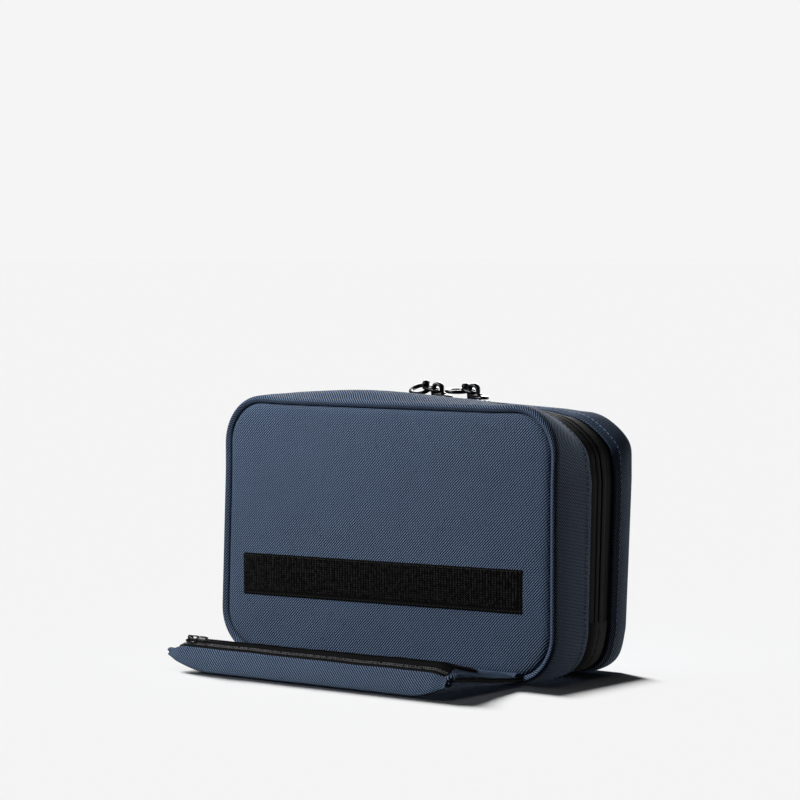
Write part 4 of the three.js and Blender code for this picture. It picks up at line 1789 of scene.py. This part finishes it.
    def case_pull(self, part: RingPull, middle: Array) -> None:
        """Cast the pull that hangs on a slider of the case's zipper.

        Args:
            part: The slider and its pull.
            middle: The middle of the slider's crown.
        """
        bar = middle + np.array([0.0, 0.0, self.bar_rise])
        eye_x, eye_z = part.eye_end
        rise = math.degrees(math.atan2(eye_z - 0.6, -eye_x - 1.4))
        ring, knob = (bar + np.array([x * MM, 0, z * MM]) for x, z in (part.ring, part.knob))
        eye = bar + np.array([(eye_x - 1.4) / 2 * MM, 0, (eye_z + 0.6) / 2 * MM])
        half_eye = (-eye_x - 1.4) / 2 * MM
        self.cast(f"{part.pull}_cast", part.pull, [
            self.hoop("eye", eye, half_eye, 3.1 * MM, 0.0, rise, 1.1 * MM, 1.2 * MM),
            self.hoop("ring", ring, self.ring_radius, self.ring_radius, part.lean, 2.0, 1.2 * MM, 1.6 * MM),
            self.ball("knob", knob, 2.2 * MM, 1.2),
            self.ball("neck", knob - np.array([0, 0, 1.6 * MM]), 1.6 * MM, 1.1)])

    def pouch_pair(self) -> None:
        """Cast the small slider and pull of the pouch's zipper, seated on its sloping bed."""
        low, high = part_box("pouch_slider")
        front, back = (np.array(self.pouch.tray(share, 0.0)) for share in (0.0, 1.0))
        slope = math.atan2(back[1] - front[1], back[0] - front[0])
        middle = (low + high) / 2
        seat = Vector((middle.x, middle.y + 0.6 * MM, middle.z - 2.1 * MM))
        place = Matrix.Translation(seat) @ Matrix.Rotation(slope, 4, "X")
        crown, arch = (np.array([0.0, 0.0, rise]) for rise in (0.4 * MM, 0.5 * MM))
        self.cast("pouch_slider_cast", "pouch_slider", [
            self.crown("crown", crown, 8.6 * MM, 5.2 * MM, 1.1 * MM),
            self.arch("arch", arch, 1.6 * MM, 3.6 * MM, 0.42 * MM, 0.7 * MM)], place)
        eye, tongue = (np.array([x, 0.0, self.pouch_bar_rise]) for x in (3.2 * MM, 9.2 * MM))
        self.cast("pouch_pull_cast", "pouch_pull", [
            self.hoop("eye", eye, 3.2 * MM, 1.6 * MM, 0.0, 0.0, 0.4 * MM, 0.5 * MM),
            self.hoop("tongue", tongue, 3.4 * MM, 1.3 * MM, 0.0, 0.0, 0.4 * MM, 0.95 * MM)], place)

    def build(self) -> None:
        """Make every slider and pull."""
        for part in self.pulls:
            self.case_pull(part, self.case_slider(part))
        self.pouch_pair()


@dataclass(frozen=True)
class Insides:
    """What shows when the case is open: padding, lining, pockets, loops and bound edges."""

    case: Case
    slice_step: float = 12 * MM

    def dress(self, node: str, finish: bpy.types.Material, slot: str, body: str, edge: float) -> None:
        """Make one inner piece that has settled with the case.

        Args:
            node: The frame node that it stands for.
            finish: Its material.
            slot: The record's material slot.
            body: The body that it rides on.
            edge: Width of its rounded edges.
        """
        piece = copy_of_node(node, f"{node}_cloth", edge)
        slice_up(piece, self.slice_step)
        mesh = piece.data
        flat = np.array([v.co for v in mesh.vertices]).reshape(-1, 3)
        mesh.vertices.foreach_set("co", self.case.settle(flat).astype(np.float32).ravel())
        mesh.update()
        fit(piece, finish, slot, body, [node])

    def build(self) -> None:
        """Dress every inner piece."""
        finishes = self.case.finishes
        for half in ("front", "back"):
            body = f"{half}_half"
            self.dress(f"{half}_foam", finishes.foam, "foam", body, 0.4 * MM)
            self.dress(f"{half}_lining", finishes.lining, "lining", body, 0.2 * MM)
            self.dress(f"{half}_binding", finishes.binding, "black_tape", body, 0.3 * MM)
        for side in ("left", "right"):
            self.dress(f"zip_end_{side}", finishes.zip_tape, "black_tape", "front_half", 0.3 * MM)
        self.dress("slip_pocket", finishes.lining, "lining", "front_half", 0.1 * MM)
        self.dress("slip_pocket_binding", finishes.binding, "black_tape", "front_half", 0.4 * MM)
        self.dress("elastic_loops", finishes.elastic, "elastic", "front_half", 0.3 * MM)
        self.dress("mesh_pocket", finishes.net, "mesh", "back_half", 0.1 * MM)
        self.dress("mesh_pocket_binding", finishes.binding, "black_tape", "back_half", 0.4 * MM)


# ---------------------------------------------------------------- the studio


@dataclass(frozen=True)
class Lamp:
    """One light of the studio.

    Attributes:
        name: Its name.
        kind: AREA or SUN.
        place: Where it stands.
        strength: Its power.
        size: Side of an area light in metres, or angle of a sun in degrees.
        floor: INCLUDE for a light that falls on the floor only, EXCLUDE for one that leaves it out.
        floor_free: Whether the floor throws none of its shadows.
    """

    name: str
    kind: str
    place: Colour
    strength: float
    size: float
    floor: str
    floor_free: bool


@dataclass(frozen=True)
class Studio:
    """Camera, floor and lights."""

    white: float = 0.913
    key_watts: float = 8.8
    camera_place: Colour = (1.08200, -1.37649, 0.24497)
    camera_turn: float = 37.891
    camera_dip: float = 2.760
    lens: float = 133.10

    def aim(self, thing: bpy.types.Object, target: Vector) -> None:
        """Point a light at a place."""
        thing.rotation_euler = (target - thing.location).to_track_quat("-Z", "Y").to_euler()

    def light(self, lamp: Lamp) -> bpy.types.Object:
        """Make a light that looks at the case.

        Args:
            lamp: What the light is like.

        Returns:
            The light.
        """
        data = bpy.data.lights.new(lamp.name, lamp.kind)
        data.energy = lamp.strength
        if lamp.kind == "AREA":
            data.size = lamp.size
        else:
            data.angle = math.radians(lamp.size)
        made = bpy.data.objects.new(lamp.name, data)
        bpy.context.scene.collection.objects.link(made)
        made.location = lamp.place
        self.aim(made, Vector((0, 0, 0.07)))
        return made

    def link(self, lamp: bpy.types.Object, things: Sequence[bpy.types.Object], state: str,
             role: str) -> None:
        """Say what a light falls on, or what throws its shadows.

        Args:
            lamp: The light.
            things: The objects meant.
            state: INCLUDE for only these, EXCLUDE for all but these.
            role: receiver or blocker.
        """
        group = bpy.data.collections.new(f"{lamp.name}_{role}")
        for thing in things:
            group.objects.link(thing)
        for entry in group.collection_objects:
            entry.light_linking.link_state = state
        setattr(lamp.light_linking, f"{role}_collection", group)

    def build_camera(self) -> None:
        """Make the camera."""
        data = bpy.data.cameras.new("camera")
        data.lens, data.sensor_width, data.clip_end = self.lens, 36.0, 1000.0
        camera = bpy.data.objects.new("camera", data)
        bpy.context.scene.collection.objects.link(camera)
        camera.location = self.camera_place
        camera.rotation_euler = (math.radians(90 - self.camera_dip), 0.0, math.radians(self.camera_turn))
        bpy.context.scene.camera = camera

    def build_floor(self) -> bpy.types.Object:
        """Make the pale floor.

        Returns:
            The floor.
        """
        reach = 200.0
        mesh = bpy.data.meshes.new("floor")
        corners = [(-reach, -reach, 0.0), (reach, -reach, 0.0), (reach, reach, 0.0), (-reach, reach, 0.0)]
        mesh.from_pydata(corners, [], [(0, 1, 2, 3)])
        floor = new_object("floor", mesh)
        shader = Shader("floor_paint")
        mottle = shader.noise(2.0, 1.0)
        mesh.materials.append(shader.finish(
            Base_Color=(0.8, 0.8, 0.8, 1.0), Roughness=0.9 + mottle * 0.05, Specular_IOR_Level=0.0))
        floor.visible_diffuse = False
        floor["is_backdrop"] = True
        return floor

    def build_backdrop(self) -> None:
        """Show a white backdrop to the camera and a dim one to everything else."""
        world = bpy.data.worlds.new("backdrop")
        bpy.context.scene.world = world
        world.use_nodes = True
        graph = Graph(world.node_tree)
        seen = graph.node("ShaderNodeLightPath").outputs["Is Camera Ray"]
        dim = graph.node("ShaderNodeBackground", None, {"Color": (0.0, 0.0, 0.0, 1.0), "Strength": 0.0})
        plain = graph.node("ShaderNodeBackground", None,
                           {"Color": (self.white, self.white, self.white, 1.0), "Strength": 1.0})
        both = graph.node("ShaderNodeMixShader", None, {0: seen, 1: dim.outputs[0], 2: plain.outputs[0]})
        graph.node("ShaderNodeOutputWorld", None, {"Surface": both.outputs[0]})

    def build(self) -> bpy.types.Object:
        """Make the whole studio.

        Returns:
            The low light, whose shadows are chosen at the end.
        """
        self.build_camera()
        floor = self.build_floor()
        self.build_backdrop()
        key = self.key_watts
        lamps = (Lamp("over_floor", "SUN", (-0.1, 0.05, 1.0), 0.12, 40.0, "INCLUDE", True),
                 Lamp("low_floor", "SUN", (-2.0, 0.8, 1.0), 8.7, 14.0, "INCLUDE", True),
                 Lamp("key_light", "AREA", (-0.28, -0.55, 0.52), key, 0.35, "EXCLUDE", False),
                 Lamp("back_light", "AREA", (-1.1, 1.8, 1.1), 8.5 * key, 1.2, "EXCLUDE", False),
                 Lamp("sky_fill", "SUN", (-0.5, -0.4, 1.0), 0.27, 120.0, "EXCLUDE", True),
                 Lamp("floor_fill", "SUN", (0.1, -0.4, -1.0), 0.08, 170.0, "EXCLUDE", True),
                 Lamp("side_fill", "SUN", (0.2, 1.0, 0.0), 2.6, 30.0, "EXCLUDE", True))
        for lamp in lamps:
            made = self.light(lamp)
            self.link(made, [floor], lamp.floor, "receiver")
            if lamp.floor_free:
                self.link(made, [floor], "EXCLUDE", "blocker")
        bpy.context.scene.view_settings.view_transform = "Standard"
        return bpy.data.objects["low_floor"]

    def build_foot(self, lamp: bpy.types.Object, throwing: Sequence[bpy.types.Object]) -> None:
        """Let the low light's shadow come from the pouch and from a slab inside the foot of the case.

        Args:
            lamp: The low light.
            throwing: The low pieces that throw its shadow.
        """
        high = high_corner("front_gusset")
        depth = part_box("back_bottom_gusset")[1].y
        half, toe = high.x - 8 * MM, -14 * MM
        base, rise = 0.5 * MM, 15 * MM
        corners = [(x, y, z) for z in (base, rise) for x, y in
                   ((-half, toe), (half, toe), (half, depth), (-half, depth))]
        walls = [(i, (i + 1) % 4, (i + 1) % 4 + 4, i + 4) for i in range(4)]
        mesh = bpy.data.meshes.new("foot_flag")
        mesh.from_pydata(corners, [], [(0, 3, 2, 1), (4, 5, 6, 7), *walls])
        flag = new_object("foot_flag", mesh)
        for seen in ("visible_camera", "visible_diffuse", "visible_glossy", "visible_transmission"):
            setattr(flag, seen, False)
        flag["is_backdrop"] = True
        self.link(lamp, [flag, *throwing], "INCLUDE", "blocker")
        for other in ("over_floor", "key_light", "back_light", "sky_fill", "floor_fill", "side_fill"):
            light = bpy.data.objects[other]
            group = light.light_linking.blocker_collection
            if group is None:
                self.link(light, [flag], "EXCLUDE", "blocker")
            else:
                group.objects.link(flag)
                group.collection_objects[-1].light_linking.link_state = "EXCLUDE"


def main() -> None:
    """Build the organizer and its studio."""
    logging.basicConfig(level=logging.INFO, format="%(name)s: %(message)s", stream=sys.stdout)
    studio = Studio()
    low_light = studio.build()
    finishes = Finishes()
    case = Case(finishes)
    front = case.build_covers()
    case.build_gussets()
    case.build_stitches()
    CaseZip(case).build()
    HookStrip(finishes, front).build()
    pouch = Pouch(finishes)
    pouch.build_shell()
    pouch.build_zip()
    pouch.build_corners()
    pouch.build_hinge()
    pouch.build_loops()
    Hardware(finishes, pouch).build()
    Insides(case).build()
    studio.build_foot(low_light, [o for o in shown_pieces() if o.name.startswith("pouch")])


if __name__ == "__main__":
    main()
